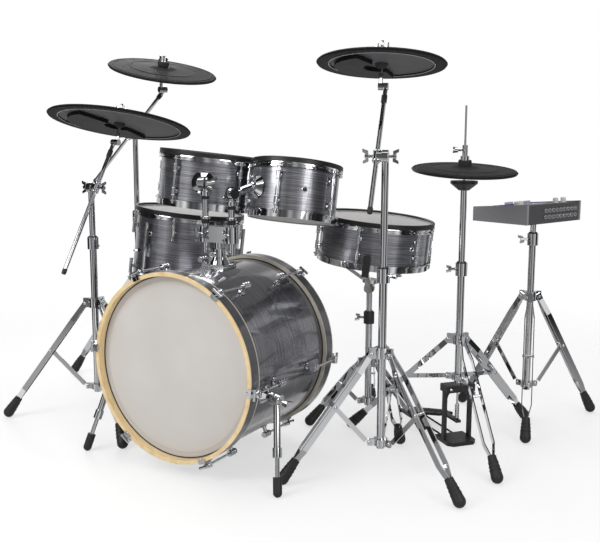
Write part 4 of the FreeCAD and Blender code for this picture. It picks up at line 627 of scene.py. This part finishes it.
# Black disc inside the vent's ring: painted shade for the unlit inside of the shell seen through the hole.
ventShadeGrid = turned([(0.0045, -0.0003), (0.0045, 0.0003)], 24)
lugBead = beadGrid(*lug["bead"])


# Rolled hoop edge: a lip under the rubber rim, turned up round its foot, outer corners eased
def rollGrid(radius, depth):
    low, seat, high = (depth + level for level in roll["levels"])
    band, inner, outer = (radius + reach for reach in roll["reaches"])
    ease = roll["round"]
    profile = [(band, low), (outer - ease, low), (outer, low + ease), (outer, high - ease), (outer - ease / 2, high),
               (inner, high), (inner, seat), (band, seat)]
    return turned(profile, 128)


for drum, size in drumSizes.items():
    basis, depth, length = drumBases[drum], size["depth"], size["lugLength"]
    base = drumCentres[drum] - basis[:, 2] * depth / 2
    starts = (lug["inset"], depth - lug["inset"] - length)
    ends = [start + shift for start in starts for shift in (lug["beadInset"], length - lug["beadInset"])]
    metal, rubberAndShade = newShape(), newShape()
    for turn in turnsOf(basis, size["lugAngle"], size["lugs"]):
        out, along = turn[:, 0], turn[:, 2]
        rodLine = base + out * (size["radius"] + lug["offset"])
        feet = [base + out * (size["radius"] + lug["seat"]) + along * (start + length / 2) for start in starts]
        addRings(metal, rosetteGrid, feet, axisBasis(out, along))
        addRings(rubberAndShade, gasketGrid, feet, axisBasis(out, along))
        addRings(metal, lugBead, [rodLine + along * end for end in ends], turn)
        addRings(metal, washerGrid, [rodLine + along * (depth - lug["earTop"])], turn)
        addRings(metal, lowWasherGrid, [rodLine + along * lug["earTop"]], turn)
    addRings(metal, rollGrid(size["radius"], depth), [base], basis)
    ventAngle, ventRise = size["vent"]
    out, _, along = (basis @ turnBasis(ventAngle)).T
    place = drumCentres[drum] + out * size["radius"] + along * ventRise
    addRings(metal, ventGrid, [place], axisBasis(out, along))
    # The black disc in the vent is painted shade, kept in one piece with the rubber gaskets.
    addCopies(rubberAndShade, ventShadeGrid, [place], axisBasis(out, along))
    finishShape(drum + "LugTrim", metal, chrome, size["body"])
    finishShape(drum + "LugGaskets", rubberAndShade, rubber, size["body"])

# Bass drum: lug rosettes and beads, claw washers and nose ribs, and a thin black ring at the head's edge, painted
# shadow for the gap where the head meets the hoop

# The ring entries set the reach, level and half section of the thin black ring of painted shadow where the head meets
# the hoop.
bass = {
    "seat": 0.0002, "bead": (0.0079, 0.0013, 0.004), "beadReach": 0.012, "earTop": 0.2066, "ribReach": 0.2615,
    "ribSize": (0.0125, 0.0065, 0.003), "ribOut": 0.0038, "rubberAndShade": (0.2538, 0.197), "shadowRingHalf": (0.0016, 0.0014),
}
bassRosette = turned([(0.0059, 0.001), (0.0106, 0.001), (0.0102, 0.0028), (0.008, 0.0044), (0.0059, 0.005)], 28)
bassGasket = turned([(0.0059, 0), (0.0118, 0), (0.0118, 0.001), (0.0059, 0.001)], 28)
stemWasher = turned([(0.00505, 0), (0.0082, 0), (0.0084, 0.0008), (0.008, 0.0016), (0.00505, 0.0016)], 24)
bassBead = beadGrid(*bass["bead"])
noseRib = block(bass["ribSize"], 4.0, 24, 0.3)
metal, rubberAndShade = newShape(), newShape()
bassPlace = np.array(bassSizes["place"])
for side in (1.0, -1.0):
    for turn in turnsOf(bassBasis, bassSizes["clawAngle"], bassSizes["claws"]):
        out, along = turn[:, 0], turn[:, 2] * side
        foot = bassPlace + out * (bassSizes["radius"] + bass["seat"]) + along * bassSizes["lugPlace"]
        rodLine = bassPlace + out * bassSizes["rodReach"]
        addRings(metal, bassRosette, [foot], axisBasis(out, turn[:, 2]))
        addRings(rubberAndShade, bassGasket, [foot], axisBasis(out, turn[:, 2]))
        beads = [rodLine + along * (bassSizes["lugPlace"] + shift * bass["beadReach"]) for shift in (-1, 0, 1)]
        addRings(metal, bassBead, beads, turn)
        addRings(metal, stemWasher, [rodLine + along * bass["earTop"]], axisBasis(along, out))
        nose = bassPlace + out * bass["ribReach"] + along * (bassSizes["face"] + bass["ribOut"])
        addCopies(metal, noseRib, [nose], axisBasis(along, out))
# Thin black rubber ring at the head's edge: painted shadow for the gap where the head meets the hoop.
addRings(rubberAndShade, ringGrid(*bass["rubberAndShade"], bass["shadowRingHalf"], 8, 128), [bassPlace], bassBasis)
finishShape("bassLugTrim", metal, chrome, "kit")
finishShape("bassLugGaskets", rubberAndShade, rubber, "kit")
print("stage: drum trim made")

# Stands: rivets at hip, knee and brace, ribs round the feet, a bushing in every clamp

leg = {
    "hip": (0.0291, 0.008), "hipDrop": 0.003, "kneeShare": 0.5, "kneeOut": 0.016, "footRadius": 0.017,
    "footTaper": 0.005 / 0.062, "footLength": 0.062, "ribs": (0.02, 0.031, 0.042), "rib": (0.0012, 0.004),
    "braceX": 0.0325, "braceOut": 0.004, "bushing": 0.008,
}
rivetGrid = turned([(0.0054, 0), (0.0054, 0.0006), (0.0048, 0.0017), (0.0034, 0.0025), (0.0015, 0.0029)], 14)
bushingGrid = turned([(0.00975, 0), (0.0142, 0), (0.0142, 0.002), (0.013, 0.0042), (0.00975, 0.0042)], 28)
rivets, ribs, bushings = newShape(), newShape(), newShape()
for size in standSizes.values():
    base = np.array((*size["place"], 0.0))
    hip = np.array((leg["hip"][0], 0, size["collar"]))
    foot = np.array((size["spread"], 0, leg["footRadius"]))
    way = unit(foot - hip)
    knee = hip + way * (norm(foot - hip) - leg["footLength"]) * leg["kneeShare"]
    spots = [(hip + way * leg["hipDrop"], leg["hip"][1]), (knee, leg["kneeOut"]),
             (np.array((leg["braceX"], 0, size["ring"])), leg["braceOut"])]
    for turn in turnsOf(np.eye(3), size["angle"], 3):
        for place, out in spots:
            for side in (1.0, -1.0):
                spot = base + turn @ (place + (0, side * out, 0))
                addCopies(rivets, rivetGrid, [spot], axisBasis(side * turn[:, 1]))
        for rib in leg["ribs"]:
            radius = leg["footRadius"] - leg["footTaper"] * rib
            ribPlace = base + turn @ (foot - way * rib)
            addRings(ribs, beadGrid(radius, *leg["rib"]), [ribPlace], axisBasis(turn @ way))
    addRings(bushings, bushingGrid, [base + (0, 0, size["top"] + leg["bushing"])], np.eye(3))
finishShape("legRivets", rivets, chrome, "kit")
finishShape("footRibs", ribs, rubber, "kit")
finishShape("tubeBushings", bushings, blackPlastic, "kit")

# Booms: rubber end caps, a rubber grip under the tilter and beads on the sleeve

boom = {"offset": 0.0225, "bead": (0.0105, 0.0012, 0.004), "beadReach": 0.0145, "grip": (-0.054, -0.03)}
boomTails = {"ride": 0.3, "left_crash": 0.4, "right_crash": 0.17}
capGrid = turned([(0.001, -0.0012), (0.005, -0.0011), (0.0064, -0.0006), (0.007, 0.003), (0.0074, 0.006),
                  (0.0074, 0.014), (0.007, 0.0152), (0.0064, 0.0152)], 20)
gripLow, gripHigh = boom["grip"]
gripGrid = turned([(0.0062, gripLow), (0.0076, gripLow), (0.008, gripLow + 0.002), (0.008, gripHigh - 0.002),
                   (0.0076, gripHigh), (0.0062, gripHigh)], 24)
sleeveBead = beadGrid(*boom["bead"], 32)
for stand, tail in boomTails.items():
    head, knee = (np.array(joints[stand + key]["pos_m"]) for key in ("_boom_angle", "_tilter_angle"))
    middle = head + np.array(joints[stand + "_boom_angle"]["axis"]) * boom["offset"]
    way = unit(knee - middle)
    cap = newShape()
    addCopies(cap, capGrid, [middle - way * tail], axisBasis(way))
    addRings(cap, gripGrid, [knee], axisBasis(way))
    finishShape(stand + "BoomCap", cap, rubber, stand + "_boom")
    beads = [middle + way * side * boom["beadReach"] for side in (-1, 1)]
    addPiece(stand + "BoomBeads", chrome, stand + "_boom", sleeveBead, beads, axisBasis(way), closed=True)

# Pads: moulded rings, a seam underneath, felt and wing nut on top, a jack on each housing

padTrim = {
    "bell": 0.046, "edge": 0.008, "lip": 0.004, "rise": 0.006, "rings": (0.61, 0.905), "ringHalf": (0.0016, 0.0009),
    "seamLevel": 0.0001, "seamHalf": (0.0013, 0.001), "jackTurn": 182.5, "jackDrop": -0.002, "jackShare": 0.72,
}
stack = {"wing": (0.011, 0.0034), "wingFoot": 0.034, "wingDrop": 0.0055, "wingReach": 0.0145, "tipFoot": 0.05}
stackTops = {"ride": 0.068, "left_crash": 0.0565, "right_crash": 0.068}
feltGrid = turned([(0.005, 0.0212), (0.0172, 0.0212), (0.0184, 0.0226), (0.0186, 0.028), (0.018, 0.0334),
                   (0.0166, 0.0345), (0.005, 0.0345)], 32)
hatFeltGrid = turned([(0.005, 0.0182), (0.0184, 0.0182), (0.0196, 0.0196), (0.0198, 0.027), (0.0192, 0.0336),
                      (0.0178, 0.0348), (0.005, 0.0348)], 32)
jackGrid = turned([(0.005, -0.001), (0.005, 0.0022), (0.0038, 0.0024), (0.0038, 0.006), (0.0026, 0.0066)], 20)
for stand, (origin, axis) in padFrames.items():
    radius, pad = padSizes[stand], stand + "_pad"
    basis = np.array(up.rotation_difference(axis).to_matrix())
    rings = newShape()
    edge = radius - padTrim["lip"]
    for share in padTrim["rings"]:
        reach = radius * share
        level = padTrim["edge"] + padTrim["rise"] * (edge - reach) / (edge - padTrim["bell"])
        addRings(rings, ringGrid(reach, level, padTrim["ringHalf"], 6, 96), [origin], basis)
    finishShape(stand + "PadRings", rings, padRubber[stand], pad)
    seamGrid = ringGrid(radius - padSeat["undersideIn"], padTrim["seamLevel"], padTrim["seamHalf"], 6, 96)
    addPiece(stand + "PadSeam", seamPlastic, pad, seamGrid, [origin], basis, closed=True)
    if stand == "hat":
        addPiece("hatFelt", feltBlack, pad, hatFeltGrid, [origin], basis)
        continue
    addPiece(stand + "Felt", feltBlack, stand + "_tilter", feltGrid, [origin], basis)
    clouds = (part["points"] - origin for part in looseParts(stand + "_tilter"))
    nut = max(clouds, key=lambda points: (points @ basis[:, 2]).min())
    flat = nut - np.outer(nut @ basis[:, 2], basis[:, 2])
    wing = unit(flat[np.argmax(norm(flat, axis=1))])
    foot, tip, top = stack["wingFoot"], stack["tipFoot"], stackTops[stand]
    wingTop = top - stack["wingDrop"]
    tips = newShape()
    middle, wing = origin + basis[:, 2] * (wingTop + foot) / 2, wing * stack["wingReach"]
    addCopies(tips, block((*stack["wing"], wingTop - foot), 4.0, 28, 0.25), [middle + wing, middle - wing],
              axisBasis(axis, wing))
    addCopies(tips, turned([(0.004, tip), (0.0043, tip + 0.0005), (0.0043, top - 0.002), (0.0034, top - 0.0003),
                            (0.0014, top)], 20), [origin], basis)
    finishShape(stand + "WingTips", tips, chrome, stand + "_tilter")
    turn = basis @ turnBasis(padTrim["jackTurn"])
    jackPlace = origin + turn[:, 0] * radius * padTrim["jackShare"] + turn[:, 2] * padTrim["jackDrop"]
    addPiece(stand + "PadJack", jackMetal, pad, jackGrid, [jackPlace], axisBasis(turn[:, 0]))
print("stage: stand trim made")

# Tom holder: bolts on the base plate, bands on the arms, a rubber ring round each ratchet

holder = {
    "foot": (0.0702, -0.3554), "plateTop": 0.562, "bolts": (0.031, 0.026), "stem": 0.0095, "ease": 0.001,
    "hubBead": (0.017, 0.0022, 0.007),
}
holderArms = {"tom_arm_left": (0.0242, 0.792), "tom_arm_right": (0.1162, 0.766)}
boltGrid = turned([(0.0046, 0), (0.0046, 0.003), (0.004, 0.0038), (0.002, 0.0038)], 6)
footX, footY = holder["foot"]
boltX, boltY = holder["bolts"]
boltPlaces = [(footX + x, footY + y, holder["plateTop"]) for x in (-boltX, boltX) for y in (-boltY, boltY)]
addPiece("holderBolts", chrome, "kit", boltGrid, boltPlaces, np.eye(3), sharp=20)
for arm, (x, level) in holderArms.items():
    stem, ease = holder["stem"], holder["ease"]
    dark, bright = newShape(), newShape()
    for low, high, rise, shape in ((0.676, 0.69, 0.0026, dark), (0.69, 0.697, 0.0042, bright),
                                   (level - 0.046, level - 0.036, 0.0022, dark),
                                   (level - 0.036, level - 0.022, 0.0048, bright)):
        core, rim = stem - 0.0002, stem + rise
        band = turned([(core, low), (rim - ease, low), (rim, low + ease), (rim, high - ease), (rim - ease, high),
                       (core, high)], 32)
        addRings(shape, band, [(x, footY, 0)], np.eye(3))
    hinge = np.array(joints[arm.replace("_arm", "") + "_tilt"]["axis"])
    addRings(dark, beadGrid(*holder["hubBead"], 40), [(x, footY, level)], axisBasis(hinge))
    finishShape(arm + "Bands", dark, rimRubber, arm)
    finishShape(arm + "Collars", bright, chrome, arm)

# Elbows: a sleeve round each tom's short rod, from beside the ratchet to the dome on the shell

elbow = {"aside": 0.0138, "core": 0.0058, "radius": 0.0115, "flange": 0.0142, "start": 0.0215, "seat": 0.0136}
for tom, side in (("tom_left", -1), ("tom_right", 1)):
    hinge, drumAxis = np.array(joints[tom + "_tilt"]["axis"]), drumBases[tom][:, 2]
    outward = side * np.array((hinge[1], -hinge[0], 0.0))
    outward = unit(outward - drumAxis * (drumAxis @ outward))
    seat = drumCentres[tom] + outward * (drumSizes[tom]["radius"] + elbow["seat"])
    root = np.array(joints[tom + "_tilt"]["pos_m"]) + hinge * elbow["aside"]
    low, high = elbow["start"], norm(seat - root)
    core, radius, flange = elbow["core"], elbow["radius"], elbow["flange"]
    sleeve = turned([(core, low), (radius - 0.0015, low), (radius, low + 0.0015), (radius, high - 0.0085),
                     (flange, high - 0.007), (flange, high - 0.0012), (flange - 0.0012, high), (core, high)], 36)
    addPiece(tom + "Elbow", chrome, tom, sleeve, [root], axisBasis(seat - root), closed=True)

# Snare basket: rounded rubber sleeves with ribs over the grips

grip = {
    "pivot": joints["snare_tilt"]["pos_m"], "angle": 50, "place": (0.19784, 0, 0.1028),
    "size": (0.0134, 0.0214, 0.0636), "ribs": np.linspace(-0.024, 0.024, 7), "ribSize": (0.0146, 0.0226, 0.0032),
}
grips = newShape()
for turn in turnsOf(drumBases["snare"], grip["angle"], 3):
    place = np.array(grip["pivot"]) + turn @ grip["place"]
    addCopies(grips, block(grip["size"], 9.0, 40, 0.14), [place], turn)
    ribPlaces = [place + turn[:, 2] * level for level in grip["ribs"]]
    addCopies(grips, block(grip["ribSize"], 9.0, 40, 0.3), ribPlaces, turn)
finishShape("basketGrips", grips, rubber, "snare")

# Hi-hat: chain rollers on the link, treads on the footboard, bolts and an arch on the pedal frame

pedalTrim = {
    "base": (0.6492, 0.0726, 0.0), "azimuth": 140, "heel": 0.262, "hinge": 0.017, "run": 0.196, "rise": 0.045,
    "board": 0.0086, "treads": (0.045, 0.07, 0.095, 0.12, 0.145, 0.17), "treadSize": (0.006, 0.052, 0.002),
    "rollerOut": 0.0025, "rollers": (0.0775, 0.1125, 0.0085), "bolt": (0.022, 0.034, 0.172), "arch": (0.018, 0.141),
    "archBend": 0.022, "archBar": 0.0065,
}
pedal = turnBasis(pedalTrim["azimuth"])
base = np.array(pedalTrim["base"])
rollerGrid = turned([(0.0046, 0), (0.0046, 0.0016), (0.003, 0.0022), (0.0012, 0.0022)], 16)
rollers, frameBolts, arch = newShape(), newShape(), newShape()
sweep = np.linspace(0, np.pi / 2, 10)
boltOut, boltSide, boltLevel = pedalTrim["bolt"]
for side in (1.0, -1.0):
    rollerOut, levels = side * pedalTrim["rollerOut"], np.arange(*pedalTrim["rollers"])
    spots = [base + pedal @ (rollerOut, 0, level) for level in levels]
    addCopies(rollers, rollerGrid, spots, axisBasis(side * pedal[:, 0]))
    spots = [base + pedal @ (side * boltOut, y, boltLevel) for y in (-boltSide, boltSide)]
    addCopies(frameBolts, boltGrid, spots, axisBasis(side * pedal[:, 0]))
    archOut, archLevel = pedalTrim["arch"]
    bend = np.stack([0 * sweep, side * (archOut + pedalTrim["archBend"] * np.sin(sweep)),
                     archLevel + pedalTrim["archBend"] * np.cos(sweep)], axis=1)
    addCopies(arch, pathGrid(bend, (1.0, 0, 0), pedalTrim["archBar"]), [base], pedal)
finishShape("linkRollers", rollers, chrome, "hat_rod")
slope = math.atan2(pedalTrim["rise"], pedalTrim["run"])
rise, run = math.sin(slope), math.cos(slope)
boardBasis = pedal @ np.array(((-run, 0, rise), (0, -1.0, 0), (rise, 0, run)))
heel = base + pedal @ (pedalTrim["heel"], 0, pedalTrim["hinge"])
spots = [heel + boardBasis @ (reach, 0, pedalTrim["board"]) for reach in pedalTrim["treads"]]
addPiece("footboardTreads", rubber, "hat_footboard", block(pedalTrim["treadSize"], 6.0, 32, 0.3), spots, boardBasis)
finishShape("pedalBolts", frameBolts, chrome, "kit", sharp=20)
finishShape("pedalArch", arch, blackPaint, "kit")

# Sound module: top panel, display bezel, fader slots and lines, jack nuts and holes, knob lines

panelSlope = math.atan2(moduleSizes["back"] - moduleSizes["front"], caseDepth)
panelBasis = caseBasis @ np.array(Matrix.Rotation(-panelSlope, 3, "X"))
module = {
    "panel": (0.266, 0.19, 0.00025), "panelLevel": 0.00016, "bezel": (0.0863, 0.0521), "window": (0.0753, 0.0411),
    "bezelRise": (0.0003, 0.0032), "screen": (0.0783, 0.0441), "screenPlace": (0.36, 0.29), "faders": 8,
    "faderStep": (0.44, 0.0586), "faderRest": (0.8, 0.03), "slot": (0.003, 0.036, 0.0004),
    "slotPlace": (0.1775, 0.0005), "line": (0.0096, 0.0016, 0.0006), "lineLevel": 0.0092, "jacks": 9,
    "jackStep": (0.33, 0.069), "jackRise": 0.02, "jackReach": 0.0051,
}
knobSizes = {"module_knob_left": (0.009, 0.017), "module_knob_right": (0.009, 0.017), "module_dial": (0.015, 0.012)}


def onCase(x, y, z):
    return casePlace + caseBasis @ (x, y, z)


def onPanel(x, y, z):
    return onCase(0, -caseDepth / 2, moduleSizes["back"]) + panelBasis @ (x, y, z)


panelPlace = onPanel(0, caseDepth / 2, module["panelLevel"])
addPiece("modulePanel", panelPlastic, "module", block(module["panel"], 14.0, 48, 0.1), [panelPlace], panelBasis)
bezel = bezelGrid(module["bezel"], module["window"], *module["bezelRise"])
(shareX, shareY), (screenX, screenY) = module["screenPlace"], module["screen"]
bezelPlace = onPanel((shareX - 0.5) * caseWidth + screenX / 2, shareY * caseDepth + screenY / 2, 0)
addPiece("moduleBezel", greyPlastic, "module", bezel, [bezelPlace], panelBasis, closed=True)
slots, lines = [], []
(faderFirst, faderStep), (restFirst, restStep) = module["faderStep"], module["faderRest"]
for index in range(module["faders"]):
    x = (faderFirst + faderStep * index - 0.5) * caseWidth + 0.005
    y = (restFirst + restStep * (index % 3)) * caseDepth + 0.0075
    slots.append(onPanel(x, *module["slotPlace"]))
    lines.append(onPanel(x, y, module["lineLevel"]))
addPiece("faderSlots", blackPlastic, "module", block(module["slot"], 6.0, 24, 0.2), slots, panelBasis)
addPiece("faderLines", linePlastic, "module", block(module["line"], 6.0, 24, 0.2), lines, panelBasis)
nutGrid = turned([(0.0054, 0), (0.0074, 0), (0.0074, 0.0016), (0.0068, 0.0022), (0.0054, 0.0022)], 6)
holeGrid = turned([(0.0032, -0.0002), (0.0032, 0.0002)], 18)
jackFirst, jackStep = module["jackStep"]
faces = [onCase(caseWidth * (jackFirst + jackStep * column - 0.5), -caseDepth / 2, module["jackRise"] * row)
         for row in (1, 2) for column in range(module["jacks"])]
backward = axisBasis(-caseBasis[:, 1])
addPiece("jackNuts", jackMetal, "module", nutGrid, faces, backward, closed=True, sharp=20)
holes = [face - caseBasis[:, 1] * module["jackReach"] for face in faces]
addPiece("jackHoles", blackPlastic, "module", holeGrid, holes, backward)
for knob, (reach, height) in knobSizes.items():
    turn = joints[knob + "_turn"]
    basis = axisBasis(turn["axis"], panelBasis[:, 1])
    place = np.array(turn["pos_m"]) + basis @ (reach * 0.45, 0, height + 0.0001)
    addPiece(knob + "Line", blackPlastic, knob, block((reach * 0.55, 0.0014, 0.0006), 6.0, 24, 0.2), [place], basis)
print("stage: module trim made")


# Camera at the photograph's place

cameraView = {
    "position": (1.5578, -2.4188, 0.938), "forward": (-0.5014, 0.8512, -0.1552), "up": (-0.081, 0.1324, 0.9879),
    "lens": 53.04, "sensor": 36.0,
}
cameraData = bpy.data.cameras.new("camera")
cameraData.sensor_width = cameraView["sensor"]
cameraData.sensor_fit = "HORIZONTAL"
cameraData.lens = cameraView["lens"]
camera = addObject("camera", cameraData)
forward = Vector(cameraView["forward"]).normalized()
right = forward.cross(Vector(cameraView["up"])).normalized()
cameraTurn = Matrix((right, right.cross(forward), -forward)).transposed()
camera.matrix_world = Matrix.Translation(cameraView["position"]) @ cameraTurn.to_4x4()
bpy.context.scene.camera = camera

# Lamps: a soft key from the left front, a fill from the right, one above and one behind

lamps = sizeTable("place size power target", {
    "keyLamp": ((-1.2, -3.2, 2.6), 1.8, 72, (0, 0, 0.5)),
    "fillLamp": ((3.4, -1.6, 2.0), 1.5, 36, (0, 0, 0.5)),
    "topLamp": ((0, 0.3, 3.8), 2.6, 62, (0, 0, 0)),
    "backLamp": ((-2.8, 2.4, 2.4), 1.4, 34, (0, 0, 0.6)),
})
for name, lamp in lamps.items():
    data = bpy.data.lights.new(name, "AREA")
    data.size = lamp["size"]
    data.energy = lamp["power"]
    light = addObject(name, data)
    light.location = lamp["place"]
    light.rotation_euler = (Vector(lamp["target"]) - Vector(lamp["place"])).to_track_quat("-Z", "Y").to_euler()

# World: even grey light; the camera sees white, and metal sees white screens with dark gaps

studio = {
    "light": 0.42, "frontBearing": -59.5, "ripples": 17, "ripple": (0.25, 0.8), "levels": [
        (-180, 0.8), (-166, 0.8), (-158, 0.2), (-150, 0.95), (-138, 0.95), (-124, 0.03), (-70, 0.02), (-62, 0.95),
        (-44, 1.0), (-32, 0.1), (-18, 0.14), (-8, 0.46), (16, 0.42), (24, 0.95), (40, 0.95), (47, 0.03), (84, 0.03),
        (92, 0.7), (124, 0.75), (132, 0.06), (142, 0.06), (150, 0.95), (162, 0.95), (168, 0.3), (180, 0.8)],
}
world = bpy.data.worlds.new("studio")
bpy.context.scene.world = world
world.use_nodes = True
tree = world.node_tree
even = tree.nodes["Background"]
even.inputs["Color"].default_value = (1, 1, 1, 1)
even.inputs["Strength"].default_value = studio["light"]
rays = tree.nodes.new("ShaderNodeLightPath").outputs
direction = tree.nodes.new("ShaderNodeTexCoord").outputs["Generated"]
split = addNode(tree, "ShaderNodeSeparateXYZ", {"Vector": direction}).outputs
bearing = maths(tree, "ARCTAN2", split["Y"], split["X"])
offFront = maths(tree, "SUBTRACT", bearing, math.radians(studio["frontBearing"]))
facing = maths(tree, "MULTIPLY_ADD", maths(tree, "WRAP", offFront, math.pi, -math.pi), 0.5 / math.pi, 0.5)
levels = [(degrees / 360 + 0.5, (level, level, level)) for degrees, level in studio["levels"]]
ripple = maths(tree, "COSINE", maths(tree, "MULTIPLY", bearing, studio["ripples"]))
screens = addNode(tree, "ShaderNodeBackground", {"Color": colourRamp(tree, facing, levels),
                                                 "Strength": maths(tree, "MULTIPLY_ADD", ripple, *studio["ripple"])})
white = addNode(tree, "ShaderNodeBackground", {"Color": (1, 1, 1, 1)})
mirrored = maths(tree, "MAXIMUM", rays["Is Glossy Ray"], rays["Is Transmission Ray"])
mirrorMix = mixShader(tree, mirrored, even.outputs["Background"], screens.outputs["Background"])
cameraMix = mixShader(tree, rays["Is Camera Ray"], mirrorMix, white.outputs["Background"])
tree.links.new(cameraMix, tree.nodes["World Output"].inputs["Surface"])

# Floor: white paper that fades into the white backdrop away from the middle

paper = {"colour": (0.93, 0.93, 0.93), "lift": 0.6, "fadeFrom": 1.15, "fadeTo": 2.6, "radius": 2.7, "sides": 96}
floorMaterial, tree = makeMaterial("floorPaper", paper["colour"], 0.4, specular=0.25)
roughnessNoise(floorMaterial, 3.0, 0.35, 0.5)
distance = vectorMaths(tree, "LENGTH", objectSpace(tree), result="Value")
sockets = {"Value": distance, "From Min": paper["fadeFrom"], "From Max": paper["fadeTo"], "To Min": paper["lift"]}
fade = addNode(tree, "ShaderNodeMapRange", sockets, interpolation_type="SMOOTHSTEP")
rays = tree.nodes.new("ShaderNodeLightPath").outputs
straight = maths(tree, "MAXIMUM", rays["Is Camera Ray"], rays["Is Glossy Ray"])
through = maths(tree, "MAXIMUM", straight, rays["Is Transmission Ray"])
amount = maths(tree, "MULTIPLY", fade.outputs["Result"], through)
backdrop = tree.nodes.new("ShaderNodeBsdfTransparent").outputs["BSDF"]
blend = mixShader(tree, amount, shaderOf(floorMaterial).outputs["BSDF"], backdrop)
tree.links.new(blend, tree.nodes["Material Output"].inputs["Surface"])
rim = fullTurn(paper["sides"])
corners = np.stack([paper["radius"] * np.cos(rim), paper["radius"] * np.sin(rim), 0 * rim], axis=1)
floorMesh = bpy.data.meshes.new("floor")
floorMesh.from_pydata(corners.tolist(), [], [list(range(paper["sides"]))])
floorMesh.materials.append(floorMaterial)
floor = addObject("floor", floorMesh)
bpy.context.scene.view_settings.view_transform = "Standard"
print("stage: camera and light set")
